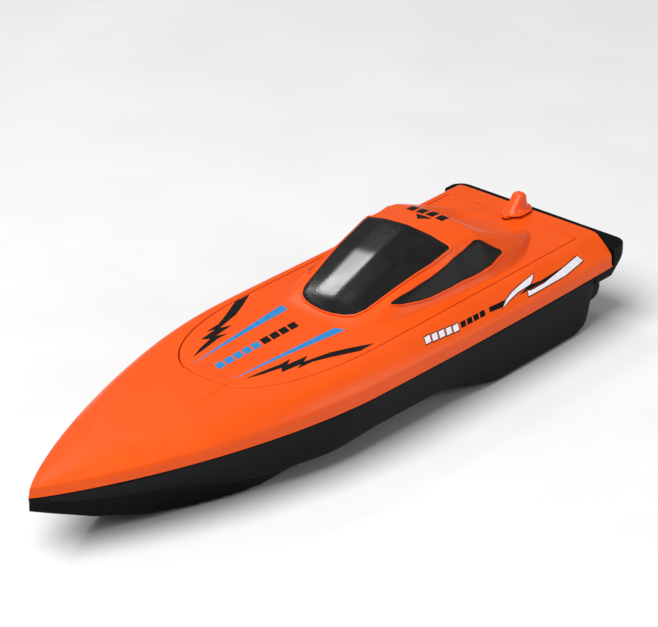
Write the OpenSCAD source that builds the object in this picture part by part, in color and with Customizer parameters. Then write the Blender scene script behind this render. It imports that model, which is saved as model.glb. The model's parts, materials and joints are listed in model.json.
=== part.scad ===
// Radio-controlled speedboat with twin propellers and a lift-off hatch.
// +X is the bow, +Y is port, +Z is up. The origin is under the middle of the boat,
// on the plane that the hull stands on. All sizes are in millimetres.

/* [Boat] */
// Length from the stern platform to the bow tip
boat_length = 350; // [350:1:350]
// Half of the beam, at the widest station of the deck
half_beam = 53.3; // [52:0.1:54]
// Height of the joint line between hull and deck
seam_z = 31; // [30:0.5:32]
// Height of the flat deck aft of amidships
deck_z = 45.8; // [45:0.1:46]
// Height of the upright lip at the edge of the deck
lip_height = 5.2; // [4.5:0.1:5.6]
// Wall thickness of the moulded shells
wall = 1.8; // [1.6:0.1:2]

/* [Hull] */
// Position of the transom
transom_x = -150; // [-150:1:-150]
// Radius that rounds the foot of the transom
transom_round = 11; // [8:1:11]
// Height of the chine on the forward half of the hull
chine_z = 11; // [9:0.5:12]
// Half-width of the stern platform
platform_half = 51; // [49:0.5:51]
// Height of the top of the stern platform
platform_z = 40; // [39:0.5:41]

/* [Deck and hatch] */
// Position of the rear face of the deck
deck_rear_x = -163; // [-163:1:-163]
// Position of the rear edge of the hatch
hatch_rear_x = -151; // [-151:1:-151]
// Position of the front edge of the hatch
hatch_front_x = 66; // [64:1:68]
// Half-width of the hatch
hatch_half = 39; // [38:0.5:39]
// Gap round the edge of the hatch
hatch_gap = 0.5; // [0.4:0.05:0.6]
// Height of the roof of the cabin
roof_z = 68.8; // [66:0.1:69]

/* [Latch] */
// Position of the pivot of the hatch latch
latch_x = -157; // [-157.5:0.1:-156.5]
// Diameter of the latch pin
latch_pin_d = 5; // [4:0.1:5]
// Height of the latch above its foot
latch_height = 10.2; // [8:0.1:10.5]

/* [Drive] */
// Distance of each propeller shaft from the centre line
shaft_y = 20; // [19:0.5:21]
// Height of the propeller shafts
shaft_z = 12.5; // [12:0.1:13]
// Diameter of the propeller shafts
shaft_d = 2; // [2:0.1:2.2]
// Diameter of the propellers
prop_d = 21; // [18:0.5:21.5]
// Diameter of the motor cans
motor_d = 20; // [19:0.1:20]
// Running clearance of the shafts, on the radius
running_gap = 0.05; // [0.03:0.01:0.08]

/* [Equipment] */
// Height of the top of the equipment tray
tray_z = 16; // [15:0.5:17]
// Diameter of one battery cell
cell_d = 14.2; // [14:0.1:14.5]
// Length of the battery pack
pack_length = 52; // [50:1:54]
// Travel of the power switch
switch_travel = 3; // [2:0.5:3]

/* [Hidden] */
$fn = 48;

bow_x = boat_length / 2;
stern_x = -boat_length / 2;
shoulder_x = 5;
bow_lip_z = seam_z + lip_height;
bow_drop = deck_z - bow_lip_z;
arc_x = -11;
arc_length = hatch_front_x - arc_x;
eps = 0.01;

// ---------- general helpers ----------

function mix(a, b, t) = a + (b - a) * t;
function clip(t) = min(max(t, 0), 1);
function ease(t) = let (u = clip(t)) u * u * (3 - 2 * u);
function mirrored(points) =
  [for (i = [len(points) - 2 : -1 : 1]) [points[i][0], -points[i][1]]];
function full_loop(half) = concat(half, mirrored(half));

// Triangles of an open grid with the given rows and columns, starting at point base.
function grid_faces(rows, cols, base, flip) = [
  for (i = [0 : rows - 2], j = [0 : cols - 2], side = [0, 1])
    let (
      a = base + i * cols + j,
      b = a + 1,
      c = a + cols + 1,
      d = a + cols,
      face = side == 0 ? [a, b, c] : [a, c, d]
    )
    flip ? [face[0], face[2], face[1]] : face
];

// Triangles of a grid that closes on itself both ways.
function ring_faces(rows, cols) = [
  for (i = [0 : rows - 1], j = [0 : cols - 1], side = [0, 1])
    let (
      ii = (i + 1) % rows,
      jj = (j + 1) % cols,
      a = i * cols + j,
      b = i * cols + jj,
      c = ii * cols + jj,
      d = ii * cols + j
    )
    side == 0 ? [a, c, b] : [a, d, c]
];

// Triangles that join two equally long rows of points.
function strip_faces(first, second, flip) = [
  for (i = [0 : len(first) - 2], side = [0, 1])
    let (face = side == 0 ? [first[i], first[i + 1], second[i + 1]]
                          : [first[i], second[i + 1], second[i]])
    flip ? [face[0], face[2], face[1]] : face
];

// ---------- lines of the boat ----------

// Half-beam of the deck edge at station x.
function beam(x) =
  x <= shoulder_x
    ? half_beam - 1.2 * pow((x + 75) / 88, 2)
    : (half_beam - 1) * pow(max(1 - pow((x - shoulder_x) / (bow_x - shoulder_x), 1.75), 0), 0.9);

// Height of the deck on the centre line.
function deck_top(x) = deck_z - bow_drop * pow(max(x, 0) / bow_x, 2.2);

// Half-width of the flat middle of the deck.
function flat_half(x) = 41.5 * sqrt(max(1 - pow(max(x - arc_x, 0) / 125, 2), 0));

// Roundness of the bevel between the flat deck and the lip.
function bevel_power(x) = 1.05 + 1.1 * ease((x + 120) / 240);

// Height of the deck surface at any place.
function deck_height(x, y) =
  let (
    flat = min(flat_half(x), beam(x) - 1),
    q = clip((abs(y) - flat) / max(beam(x) - 0.5 - flat, 0.4))
  )
  mix(deck_top(x), bow_lip_z, pow(q, bevel_power(x)));

// Half-width of the hatch at station x.
function hatch_width(x, grow = 0) =
  let (t = clip((x - arc_x) / (arc_length + grow)))
  x < arc_x
    ? mix(hatch_half - 1, hatch_half, (x - hatch_rear_x) / (arc_x - hatch_rear_x)) + grow
    : (hatch_half + grow) * pow(max(1 - pow(t, 2.5), 0), 0.4);

// ---------- hull ----------

hull_rows = 36;
hull_bow_x = bow_x - 0.4;
keel_rise_x = 120;

function keel_z(x) = x < keel_rise_x ? 0 : 25 * pow((x - keel_rise_x) / 55, 1.15);

function chine_height(x) =
  x > 20
    ? chine_z + 19 * pow((x - 20) / 155, 4)
    : chine_z * ease((x + 85) / 43);

function chine_half(x) = beam(x) * mix(0.89, 0.45, ease((x - 20) / 150));

// Height of the bilge, between the keel and the chine.
function bilge_z(x) = lookup(x, [
  [40, 5.5], [50, 5], [63, 1.8], [80, 1], [95, 1], [106, 2.2], [117, 3.6], [130, 7.4],
  [142, 10.8], [175, 25]
]);

// Distance of the bilge from the centre line, as a share of the chine.
function bilge_share(x) = mix(0.5, 0.8, ease((x - 25) / 20));

// Rise of the bottom where it rounds up into the transom.
function foot_rise(x) =
  let (t = clip((transom_x + transom_round - x) / transom_round))
  6 * (1 - sqrt(max(1 - t * t, 0)));

// Half section of the hull at station x, from the rim down to the keel.
function hull_half(x, inset) =
  let (
    rim_y = max(beam(x) - 1 - inset, 0.6),
    chine_y = max(min(chine_half(x) - inset, rim_y - 0.2), 0.3),
    low = foot_rise(x) + inset,
    zc = min(max(chine_height(x), keel_z(x)) + low, seam_z - 1.2),
    zk = min(keel_z(x) + low, seam_z - 1.4)
  )
  [
    [rim_y, seam_z],
    [mix(rim_y, chine_y, 0.3), mix(seam_z, zc, 0.35)],
    [mix(rim_y, chine_y, 0.65), mix(seam_z, zc, 0.7)],
    [mix(rim_y, chine_y, 0.95), min(zc + 2, seam_z - 0.8)],
    [max(chine_y - 2, chine_y * 0.6), zc],
    [chine_y * bilge_share(x), x < 40 ? mix(zk, zc, 0.5) : min(bilge_z(x) + low, mix(zk, zc, 0.8))]
  ];

function hull_section(x, inset) =
  let (
    half = hull_half(x, inset),
    low = foot_rise(x) + inset,
    zk = min(keel_z(x) + low, seam_z - 1.4)
  )
  concat(
    [for (p = half) [x, p[0], p[1]]],
    [[x, 0, zk]],
    [for (i = [len(half) - 1 : -1 : 0]) [x, -half[i][0], half[i][1]]]
  );

module hull_shell() {
  cols = 13;
  count = hull_rows * cols;
  outer = [for (i = [0 : hull_rows - 1])
    each hull_section(mix(transom_x, hull_bow_x, i / (hull_rows - 1)), 0)];
  inner = [for (i = [0 : hull_rows - 1])
    each hull_section(mix(transom_x + wall, hull_bow_x - 9, i / (hull_rows - 1)), wall)];
  port_out = [for (i = [0 : hull_rows - 1]) i * cols];
  port_in = [for (v = port_out) v + count];
  star_out = [for (v = port_out) v + cols - 1];
  star_in = [for (v = star_out) v + count];
  last = (hull_rows - 1) * cols;
  polyhedron(
    points = concat(outer, inner),
    faces = concat(
      grid_faces(hull_rows, cols, 0, false),
      grid_faces(hull_rows, cols, count, true),
      strip_faces(port_out, port_in, false),
      strip_faces(star_out, star_in, true),
      [[for (j = [cols - 1 : -1 : 0]) j]],
      [[for (j = [0 : cols - 1]) count + j]],
      [[for (j = [0 : cols - 1]) last + j]],
      [[for (j = [cols - 1 : -1 : 0]) count + last + j]],
      [[0, count, count + cols - 1, cols - 1]],
      [[last, last + cols - 1, last + count + cols - 1, last + count]]
    ),
    convexity = 10
  );
}

platform_round = 7;

module platform_plan() {
  straight = platform_half - platform_round;
  translate([stern_x + platform_round, -platform_half])
    square([transom_x - stern_x - platform_round + 1, 2 * platform_half]);
  translate([stern_x, -straight])
    square([platform_round + 1, 2 * straight]);
  for (side = [-1, 1])
    translate([stern_x + platform_round, side * straight])
      circle(r = platform_round);
}

module platform_profile() {
  polygon([
    [transom_x + 1, 25.5], [-161, 25.5], [stern_x, 36.5], [stern_x, platform_z - 0.8],
    [stern_x + 0.8, platform_z], [deck_rear_x - 0.3, platform_z],
    [deck_rear_x - 0.3, seam_z], [transom_x + 1, seam_z]
  ]);
}

module stern_platform() {
  intersection() {
    translate([0, 0, 20])
      linear_extrude(30)
        platform_plan();
    translate([0, platform_half + 1, 0])
      rotate([90, 0, 0])
        linear_extrude(2 * platform_half + 2)
          platform_profile();
  }
}

guard_y = 44;
guard_width = 3.5;

module prop_guard() {
  translate([0, guard_y + guard_width / 2, 0])
    rotate([90, 0, 0])
      linear_extrude(guard_width) {
        translate([-161, 19])
          square([12, 7]);
        translate([-156, 14])
          square([7, 12]);
        translate([-156, 19])
          circle(r = 5);
      }
}

post_d = 7;
post_bore_d = 2;
post_places = [[-46, 24, 6], [50, 18, 3.4]];
contact_y = 6;
contact_z = 20;
tube_d = 4;

module tray_posts() {
  for (place = post_places, side = [-1, 1])
    translate([place[0], side * place[1], place[2]])
      cylinder(h = tray_z - tray_thick - place[2], d = post_d);
}

module hull_lower() {
  color([0.05, 0.05, 0.055])
    difference() {
      union() {
        hull_shell();
        stern_platform();
        prop_guard();
        mirror([0, 1, 0])
          prop_guard();
        tray_posts();
      }
      for (side = [-1, 1]) {
        translate([transom_x - 5, side * shaft_y, shaft_z])
          rotate([0, 90, 0])
            cylinder(h = 12, d = tube_d);
        translate([transom_x - 5, side * contact_y, contact_z])
          rotate([0, 90, 0])
            cylinder(h = 12, d = 2);
        for (place = post_places)
          translate([place[0], side * place[1], tray_z - 8])
            cylinder(h = 10, d = post_bore_d);
      }
    }
}

// ---------- deck ----------

stern_steps = 6;
side_steps = 16;
arc_steps = 16;
shelf_z = 41;
shelf_depth = 4;

deck_edge_half = concat(
  [for (i = [0 : stern_steps - 1]) [deck_rear_x, beam(deck_rear_x) * i / stern_steps]],
  [for (i = [0 : side_steps - 1])
    let (x = mix(deck_rear_x, arc_x, i / side_steps)) [x, beam(x)]],
  [for (i = [0 : arc_steps])
    let (x = mix(arc_x, bow_x, i / arc_steps)) [x, i == arc_steps ? 0 : beam(x)]]
);

function opening_half(grow) = concat(
  [for (i = [0 : stern_steps - 1])
    [hatch_rear_x - grow, (hatch_width(hatch_rear_x) + grow) * i / stern_steps]],
  [for (i = [0 : side_steps - 1])
    let (x = mix(hatch_rear_x - grow, arc_x, i / side_steps))
    [x, hatch_width(x) + grow]],
  [for (i = [0 : arc_steps])
    let (a = 90 * i / arc_steps)
    [arc_x + (arc_length + grow) * pow(sin(a), 0.8), (hatch_half + grow) * pow(cos(a), 0.8)]]
);

deck_edge = full_loop(deck_edge_half);
opening_edge = full_loop(opening_half(hatch_gap));

// Point at distance d from the edge towards the opening.
function along(k, d) =
  let (o = deck_edge[k], v = opening_edge[k] - o) o + v / norm(v) * d;

function at_height(p, z) = [p[0], p[1], z];

function deck_section(k) =
  let (
    span = norm(opening_edge[k] - deck_edge[k]),
    o = along(k, 0),
    e = along(k, 0.5),
    i = opening_edge[k],
    s = along(k, span + shelf_depth),
    b = along(k, span - wall),
    edge_z = max(deck_height(e[0], e[1]), bow_lip_z)
  )
  concat(
    [at_height(o, seam_z), at_height(e, edge_z)],
    [for (f = [0.18, 0.36, 0.54, 0.72, 0.86])
      let (p = along(k, mix(0.5, span, f))) at_height(p, deck_height(p[0], p[1]))],
    [
      at_height(i, deck_height(i[0], i[1])),
      at_height(i, shelf_z),
      at_height(s, shelf_z),
      at_height(s, shelf_z - 1.6),
      at_height(b, shelf_z - 1.6),
      at_height(b, deck_height(b[0], b[1]) - wall - 0.2)
    ],
    [for (f = [0.66, 0.46])
      let (p = along(k, mix(0.5, span, f))) at_height(p, deck_height(p[0], p[1]) - wall - 0.2)],
    [at_height(along(k, 2.4), edge_z - wall - 0.8), at_height(along(k, 1.9), seam_z)]
  );

module deck_shell() {
  rows = len(deck_edge);
  cols = len(deck_section(0));
  polyhedron(
    points = [for (k = [0 : rows - 1]) each deck_section(k)],
    faces = ring_faces(rows, cols),
    convexity = 10
  );
}

module deck() {
  color([0.96, 0.33, 0.08])
    difference() {
      deck_shell();
      translate([latch_x, 0, deck_z - 8])
        cylinder(h = 12, r = latch_pin_d / 2 + running_gap);
    }
}

seal_width = 3;

module hatch_seal() {
  color([0.12, 0.12, 0.12])
    translate([0, 0, shelf_z])
      linear_extrude(1.2)
        difference() {
          polygon(full_loop(opening_half(-0.2)));
          polygon(full_loop(opening_half(-0.2 - seal_width)));
        }
}

// ---------- hatch with cabin ----------

skirt_z = shelf_z + 1.5;
hatch_rear_in = hatch_rear_x;
hatch_front_in = hatch_front_x - 0.2;

// Height of the cabin on the centre line.
function cabin_top(x) = lookup(x, [
  [-151, 0], [-143, 0], [-122, 9.5], [-108, 17], [-99, 21.3], [-94, 22.8],
  [-72, 22.9], [-50, 15.6], [-30, 7.4], [-13, 1.2], [-6, 0]
]) * (roof_z - deck_z) / 23;

// Half-widths of the roof, the top and foot of the side windows, and the cabin foot.
function roof_half(x) = lookup(x, [[-151, 20], [-100, 24], [-72, 24.5], [-22, 19], [-6, 14]]);
function window_top_half(x) = lookup(x, [[-151, 25], [-100, 28], [-60, 28.5], [-28, 25], [-6, 18]]);
function window_foot_half(x) = lookup(x, [[-151, 30], [-100, 34], [-60, 31.5], [-28, 27], [-6, 21]]);
function cabin_foot_half(x) = lookup(x, [[-151, 34], [-100, 37], [-60, 35], [-28, 30.5], [-6, 24]]);

// Heights there, as a share of the height on the centre line.
function shoulder_share(x) = lookup(x, [[-151, 0.84], [-72, 0.84], [-13, 0.9]]);
function window_top_share(x) = lookup(x, [[-151, 0.6], [-100, 0.76], [-60, 0.62], [-28, 0.8]]);
function window_foot_share(x) = lookup(x, [[-151, 0.25], [-100, 0.45], [-60, 0.26], [-28, 0.6]]);

hatch_stations = [-151, -149, -142, -135, -128, -122, -115, -108, -103, -99, -94, -88, -80,
  -72, -64, -57, -50, -43, -36, -30, -24, -18, -13, -6, 2, 11, 20, 29, 37, 44, 50, 55, 59,
  62, 64, 65.6];

function hatch_profile(x) =
  let (
    w = hatch_width(x),
    foot = min(cabin_foot_half(x), w * 0.93),
    scale = foot / cabin_foot_half(x),
    top = cabin_top(x)
  )
  [
    [w, 0],
    [w - min(2, w * 0.05), 0],
    [foot, 0.01 * top],
    [window_foot_half(x) * scale, top * window_foot_share(x)],
    [window_top_half(x) * scale, top * window_top_share(x)],
    [roof_half(x) * scale, top * shoulder_share(x)],
    [roof_half(x) * scale * 0.55, top * 0.95]
  ];

function hatch_row(x, under) =
  let (
    half = hatch_profile(x),
    edge = x < hatch_rear_in + 1 || x > hatch_front_in - 1.5,
    count = len(half),
    heights = [for (i = [0 : count - 1])
      under == 0 ? deck_height(x, half[i][0]) + half[i][1]
      : edge || i < 2 ? skirt_z
      : deck_height(x, half[i][0]) + half[i][1] - under],
    middle = under == 0 ? deck_top(x) + cabin_top(x)
      : edge ? skirt_z : deck_top(x) + cabin_top(x) - under
  )
  concat(
    [for (i = [0 : count - 1]) [x, half[i][0], heights[i]]],
    [[x, 0, middle]],
    [for (i = [count - 1 : -1 : 0]) [x, -half[i][0], heights[i]]]
  );

module hatch_shell() {
  rows = len(hatch_stations);
  cols = 15;
  count = rows * cols;
  top = [for (x = hatch_stations) each hatch_row(x, 0)];
  under = [for (x = hatch_stations) each hatch_row(x, wall)];
  port = [for (i = [0 : rows - 1]) i * cols];
  star = [for (v = port) v + cols - 1];
  rear = [for (j = [0 : cols - 1]) j];
  front = [for (v = rear) v + (rows - 1) * cols];
  polyhedron(
    points = concat(top, under),
    faces = concat(
      grid_faces(rows, cols, 0, true),
      grid_faces(rows, cols, count, false),
      strip_faces(port, [for (v = port) v + count], true),
      strip_faces(star, [for (v = star) v + count], false),
      strip_faces(rear, [for (v = rear) v + count], false),
      strip_faces(front, [for (v = front) v + count], true)
    ),
    convexity = 10
  );
}

module hatch_cover() {
  color([0.96, 0.33, 0.08])
    difference() {
      hatch_shell();
      translate([0, 0, deck_z - 6])
        linear_extrude(20)
          intersection() {
            latch_outline(0.4);
            translate([hatch_rear_x - 5, -10])
              square([20, 20]);
          }
    }
}

// A thin pane that follows the cabin between two rows of points.
module pane(rows, thick) {
  count = len(rows) * len(rows[0]);
  cols = len(rows[0]);
  top = [for (row = rows) each row];
  under = [for (p = top) [p[0], p[1], p[2] - thick]];
  first = [for (i = [0 : len(rows) - 1]) i * cols];
  last = [for (v = first) v + cols - 1];
  rear = [for (j = [0 : cols - 1]) j];
  front = [for (v = rear) v + (len(rows) - 1) * cols];
  polyhedron(
    points = concat(top, under),
    faces = concat(
      grid_faces(len(rows), cols, 0, true),
      grid_faces(len(rows), cols, count, false),
      strip_faces(first, [for (v = first) v + count], true),
      strip_faces(last, [for (v = last) v + count], false),
      strip_faces(rear, [for (v = rear) v + count], false),
      strip_faces(front, [for (v = front) v + count], true)
    ),
    convexity = 6
  );
}

// Height of the hatch surface at a place on its upper side.
function cabin_surface(x, y) =
  let (
    half = hatch_profile(x),
    table = concat(
      [[0, cabin_top(x)]],
      [for (i = [len(half) - 1 : -1 : 0]) half[i]]
    )
  )
  deck_height(x, y) + lookup(abs(y), table);

pane_lift = 0.2;
pane_thick = 0.7;

function on_cabin(x, y, lift = pane_lift) = [x, y, cabin_surface(x, y) + lift + pane_thick];

shield_stations = [-72, -64, -57, -50, -43, -36, -30, -24, -20, -17, -15, -13.8];
function shield_half(x) =
  lookup(x, [[-72, 24.2], [-24, 18.8], [-20, 17.2], [-17, 14.4], [-15, 10.6], [-13.8, 6]]);

module windshield() {
  color([0.03, 0.03, 0.035])
    pane([for (x = shield_stations)
      [for (j = [-6 : 6]) on_cabin(x, -j / 6 * shield_half(x))]], pane_thick);
}

window_lift = 0.55;
window_steps = 9;
window_tip_x = -29;

module side_window() {
  rows = [for (i = [window_steps : -1 : 0])
    let (
      t = i / window_steps,
      top_x = mix(window_tip_x, -88, t),
      foot_x = mix(window_tip_x - 0.5, -100, t)
    )
    [for (s = [0 : 0.25 : 1])
      let (
        x = mix(foot_x, top_x, s),
        low = window_foot_half(x) - 0.3,
        high = window_top_half(x) + 0.3,
        y = mix(low, high, s * mix(0.3, 1, t))
      )
      on_cabin(x, y, window_lift)]];
  pane(rows, pane_thick);
}

module side_window_port() {
  color([0.09, 0.09, 0.1])
    side_window();
}

module side_window_starboard() {
  color([0.09, 0.09, 0.1])
    mirror([0, 1, 0])
      side_window();
}

// ---------- latch ----------

latch_tail_r = 4.8;
latch_nose_r = 1.7;
latch_tail_x = -158.2;
latch_nose_x = -146.2;
latch_gap = 0.3;
latch_base = 2;
latch_z = deck_z + latch_gap;
pin_depth = 4.5;
pilot_d = 2;
fin_width = 4;
washer_h = 0.8;
washer_d = 6;
washer_z = latch_z - pin_depth;

module latch_outline(grow) {
  reach = latch_nose_x - latch_tail_x;
  s = (latch_tail_r - latch_nose_r) / reach;
  c = sqrt(1 - s * s);
  tail_r = latch_tail_r + grow;
  nose_r = latch_nose_r + grow;
  translate([latch_tail_x, 0])
    circle(r = tail_r);
  translate([latch_nose_x, 0])
    circle(r = nose_r);
  polygon([
    [latch_tail_x + tail_r * s, tail_r * c], [latch_nose_x + nose_r * s, nose_r * c],
    [latch_nose_x + nose_r * s, -nose_r * c], [latch_tail_x + tail_r * s, -tail_r * c]
  ]);
}

module latch_fin() {
  top_r = 3.2;
  translate([0, fin_width / 2, latch_z])
    rotate([90, 0, 0])
      linear_extrude(fin_width) {
        polygon([
          [-147, latch_base - 0.5], [-153.4, latch_height - 1.2], [-155.4, latch_height - 3.2],
          [-158.9, latch_height - 3.2], [-160, latch_base - 0.5]
        ]);
        translate([-155.9, latch_height - top_r])
          circle(r = top_r);
      }
}

module hatch_latch() {
  color([0.96, 0.33, 0.08])
    difference() {
      union() {
        translate([0, 0, latch_z])
          linear_extrude(latch_base)
            latch_outline(0);
        latch_fin();
        translate([latch_x, 0, washer_z])
          cylinder(h = pin_depth + 0.5, d = latch_pin_d);
      }
      translate([latch_x, 0, washer_z - 1])
        cylinder(h = 6, d = pilot_d);
    }
}

module latch_washer() {
  color([0.7, 0.7, 0.72])
    translate([latch_x, 0, washer_z - washer_h])
      difference() {
        cylinder(h = washer_h, d = washer_d);
        translate([0, 0, -1])
          cylinder(h = washer_h + 2, d = pilot_d + 0.2);
      }
}

module latch_screw() {
  color([0.6, 0.6, 0.62])
    translate([latch_x, 0, washer_z - washer_h]) {
      translate([0, 0, -1.4])
        difference() {
          cylinder(h = 1.4, d = 4.4);
          translate([-1.6, -0.3, -1])
            cube([3.2, 0.6, 1.5]);
          translate([-0.3, -1.6, -1])
            cube([0.6, 3.2, 1.5]);
        }
      translate([0, 0, -0.1])
        cylinder(h = 5.2, d = pilot_d - 0.1);
    }
}

// ---------- drive line ----------

prop_x = -163;
prop_length = 6;
hub_d = 5;
blades = 3;
blade_pitch = 38;
tube_front_x = -134;
tube_rear_x = -153;
bush_length = 3;
bush_d = 3;
coupling_x = -131;
coupling_length = 12;
motor_rear_x = -116;
can_length = 24;
endbell_length = 4;
can_wall = 1;
shaft_hole = shaft_d + 2 * running_gap;

module on_shaft(side, x) {
  translate([x, side * shaft_y, shaft_z])
    rotate([0, 90, 0])
      children();
}

module propeller(side) {
  color([0.08, 0.08, 0.085])
    difference() {
      on_shaft(side, prop_x) {
        cylinder(h = prop_length, d = hub_d);
        intersection() {
          cylinder(h = prop_length, d = prop_d);
          for (i = [0 : blades - 1])
            rotate([0, 0, 360 / blades * i])
              translate([prop_d / 4, 0, prop_length / 2])
                rotate([side * blade_pitch, 0, 0])
                  cube([prop_d / 2, 8, 1], center = true);
        }
      }
      on_shaft(side, prop_x - 1)
        cylinder(h = prop_length + 2, d = shaft_d);
    }
}

module propeller_port() {
  propeller(1);
}

module propeller_starboard() {
  propeller(-1);
}

module prop_shaft(side) {
  color([0.75, 0.75, 0.77])
    on_shaft(side, prop_x)
      cylinder(h = coupling_x + coupling_length / 2 - 0.5 - prop_x, d = shaft_d);
}

module prop_shaft_port() {
  prop_shaft(1);
}

module prop_shaft_starboard() {
  prop_shaft(-1);
}

module coupling(side) {
  color([0.72, 0.58, 0.3])
    difference() {
      on_shaft(side, coupling_x)
        cylinder(h = coupling_length, d = 6);
      on_shaft(side, coupling_x - 1)
        cylinder(h = coupling_length + 2, d = shaft_d);
    }
}

module coupling_port() {
  coupling(1);
}

module coupling_starboard() {
  coupling(-1);
}

// Motor shaft with its wound rotor and commutator.
module armature(side) {
  color([0.7, 0.45, 0.25]) {
    on_shaft(side, coupling_x + coupling_length / 2 + 0.5)
      cylinder(h = motor_rear_x + can_length + endbell_length - 1 - coupling_x
        - coupling_length / 2 - 0.5, d = shaft_d);
    on_shaft(side, motor_rear_x + 4)
      cylinder(h = 13, d = 15);
    on_shaft(side, motor_rear_x + 17.5)
      cylinder(h = 4, d = 5);
  }
}

module armature_port() {
  armature(1);
}

module armature_starboard() {
  armature(-1);
}

module stern_tube(side) {
  color([0.75, 0.6, 0.3])
    difference() {
      on_shaft(side, tube_rear_x)
        cylinder(h = tube_front_x - tube_rear_x, d = tube_d);
      on_shaft(side, tube_rear_x - 1)
        cylinder(h = tube_front_x - tube_rear_x + 2, d = bush_d);
    }
}

module stern_tube_port() {
  stern_tube(1);
}

module stern_tube_starboard() {
  stern_tube(-1);
}

module tube_bushes() {
  color([0.9, 0.9, 0.86])
    for (side = [-1, 1], x = [tube_rear_x, tube_front_x - bush_length])
      difference() {
        on_shaft(side, x)
          cylinder(h = bush_length, d = bush_d);
        on_shaft(side, x - 1)
          cylinder(h = bush_length + 2, d = shaft_hole);
      }
}

module motor_can(side) {
  color([0.72, 0.73, 0.75])
    difference() {
      union() {
        on_shaft(side, motor_rear_x)
          cylinder(h = can_length, d = motor_d);
        on_shaft(side, motor_rear_x - 1.5)
          cylinder(h = 2, d = 6);
      }
      on_shaft(side, motor_rear_x + can_wall)
        cylinder(h = can_length, d = motor_d - 2 * can_wall);
      on_shaft(side, motor_rear_x - 3)
        cylinder(h = 6, d = shaft_hole);
    }
}

module motor_can_port() {
  motor_can(1);
}

module motor_can_starboard() {
  motor_can(-1);
}

module motor_endbell(side) {
  front_x = motor_rear_x + can_length;
  color([0.15, 0.15, 0.16])
    difference() {
      union() {
        on_shaft(side, front_x - 1.5)
          cylinder(h = 1.5, d = motor_d - 2 * can_wall);
        on_shaft(side, front_x)
          cylinder(h = 2, d = motor_d);
        on_shaft(side, front_x)
          cylinder(h = endbell_length, d = 7);
        for (turn = [0, 180])
          translate([front_x + 1, side * shaft_y, shaft_z])
            rotate([turn, 0, 0])
              translate([0, -1.2, 4.8])
                cube([5, 2.4, 0.6]);
      }
      on_shaft(side, front_x - 3)
        cylinder(h = endbell_length + 4, d = shaft_hole);
    }
}

module motor_endbell_port() {
  motor_endbell(1);
}

module motor_endbell_starboard() {
  motor_endbell(-1);
}

cradle_x = -112;
cradle_length = 16;
cradle_half = 37;
cradle_top = 9;
clamp_width = 8;
clamp_x = cradle_x + 4;
foot_y = 14.2;
foot_h = 2;
clamp_screw_d = 2;

module motor_cradle() {
  color([0.1, 0.1, 0.11])
    difference() {
      translate([cradle_x, -cradle_half, wall + eps])
        cube([cradle_length, 2 * cradle_half, cradle_top - wall]);
      for (side = [-1, 1]) {
        on_shaft(side, cradle_x - 1)
          cylinder(h = cradle_length + 2, d = motor_d);
        for (foot = [-1, 1])
          translate([clamp_x + clamp_width / 2, side * shaft_y + foot * foot_y, 3.5])
            cylinder(h = 10, d = clamp_screw_d);
      }
    }
}

module motor_clamp(side) {
  clamp_r = motor_d / 2 + 1.4;
  color([0.7, 0.7, 0.72])
    difference() {
      union() {
        intersection() {
          on_shaft(side, clamp_x)
            cylinder(h = clamp_width, r = clamp_r);
          translate([clamp_x - 1, side * shaft_y - 20, cradle_top + eps])
            cube([clamp_width + 2, 40, 30]);
        }
        translate([clamp_x, side * shaft_y - foot_y - 2.6, cradle_top + eps])
          cube([clamp_width, 2 * foot_y + 5.2, foot_h]);
      }
      on_shaft(side, clamp_x - 1)
        cylinder(h = clamp_width + 2, d = motor_d);
      for (foot = [-1, 1])
        translate([clamp_x + clamp_width / 2, side * shaft_y + foot * foot_y, 3.5])
          cylinder(h = 12, d = clamp_screw_d + 0.2);
    }
}

module motor_clamp_port() {
  motor_clamp(1);
}

module motor_clamp_starboard() {
  motor_clamp(-1);
}

// Pan-head screw with a cross recess, head underside at z = 0.
module pan_screw(shank_d, shank_l, head_d, head_h) {
  difference() {
    cylinder(h = head_h, d = head_d);
    translate([-head_d * 0.35, -0.3, head_h * 0.4])
      cube([head_d * 0.7, 0.6, head_h]);
    translate([-0.3, -head_d * 0.35, head_h * 0.4])
      cube([0.6, head_d * 0.7, head_h]);
  }
  translate([0, 0, -shank_l])
    cylinder(h = shank_l + 0.1, d = shank_d);
}

module clamp_screws() {
  color([0.6, 0.6, 0.62])
    for (side = [-1, 1], foot = [-1, 1])
      translate([clamp_x + clamp_width / 2, side * shaft_y + foot * foot_y,
        cradle_top + foot_h + 2 * eps])
        pan_screw(clamp_screw_d - 0.1, 7, 4, 1.4);
}

// ---------- equipment ----------

tray_thick = 2;
tray_rear_x = -54;
tray_front_x = 58;
tray_half = 29;
pack_x = -40;
board_x = 22;
board_length = 30;
board_half = 12;
board_z = tray_z + 3;
board_thick = 1.2;
board_hole_x = 3;
board_hole_y = 9.5;
strap_x = -22;
strap_width = 14;
strap_thick = 0.8;
pack_half = cell_d + 0.3;
pack_z = tray_z + 0.02;
switch_x = -47.2;
switch_y = 0;
switch_length = 13;
switch_z = tray_z;

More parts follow.
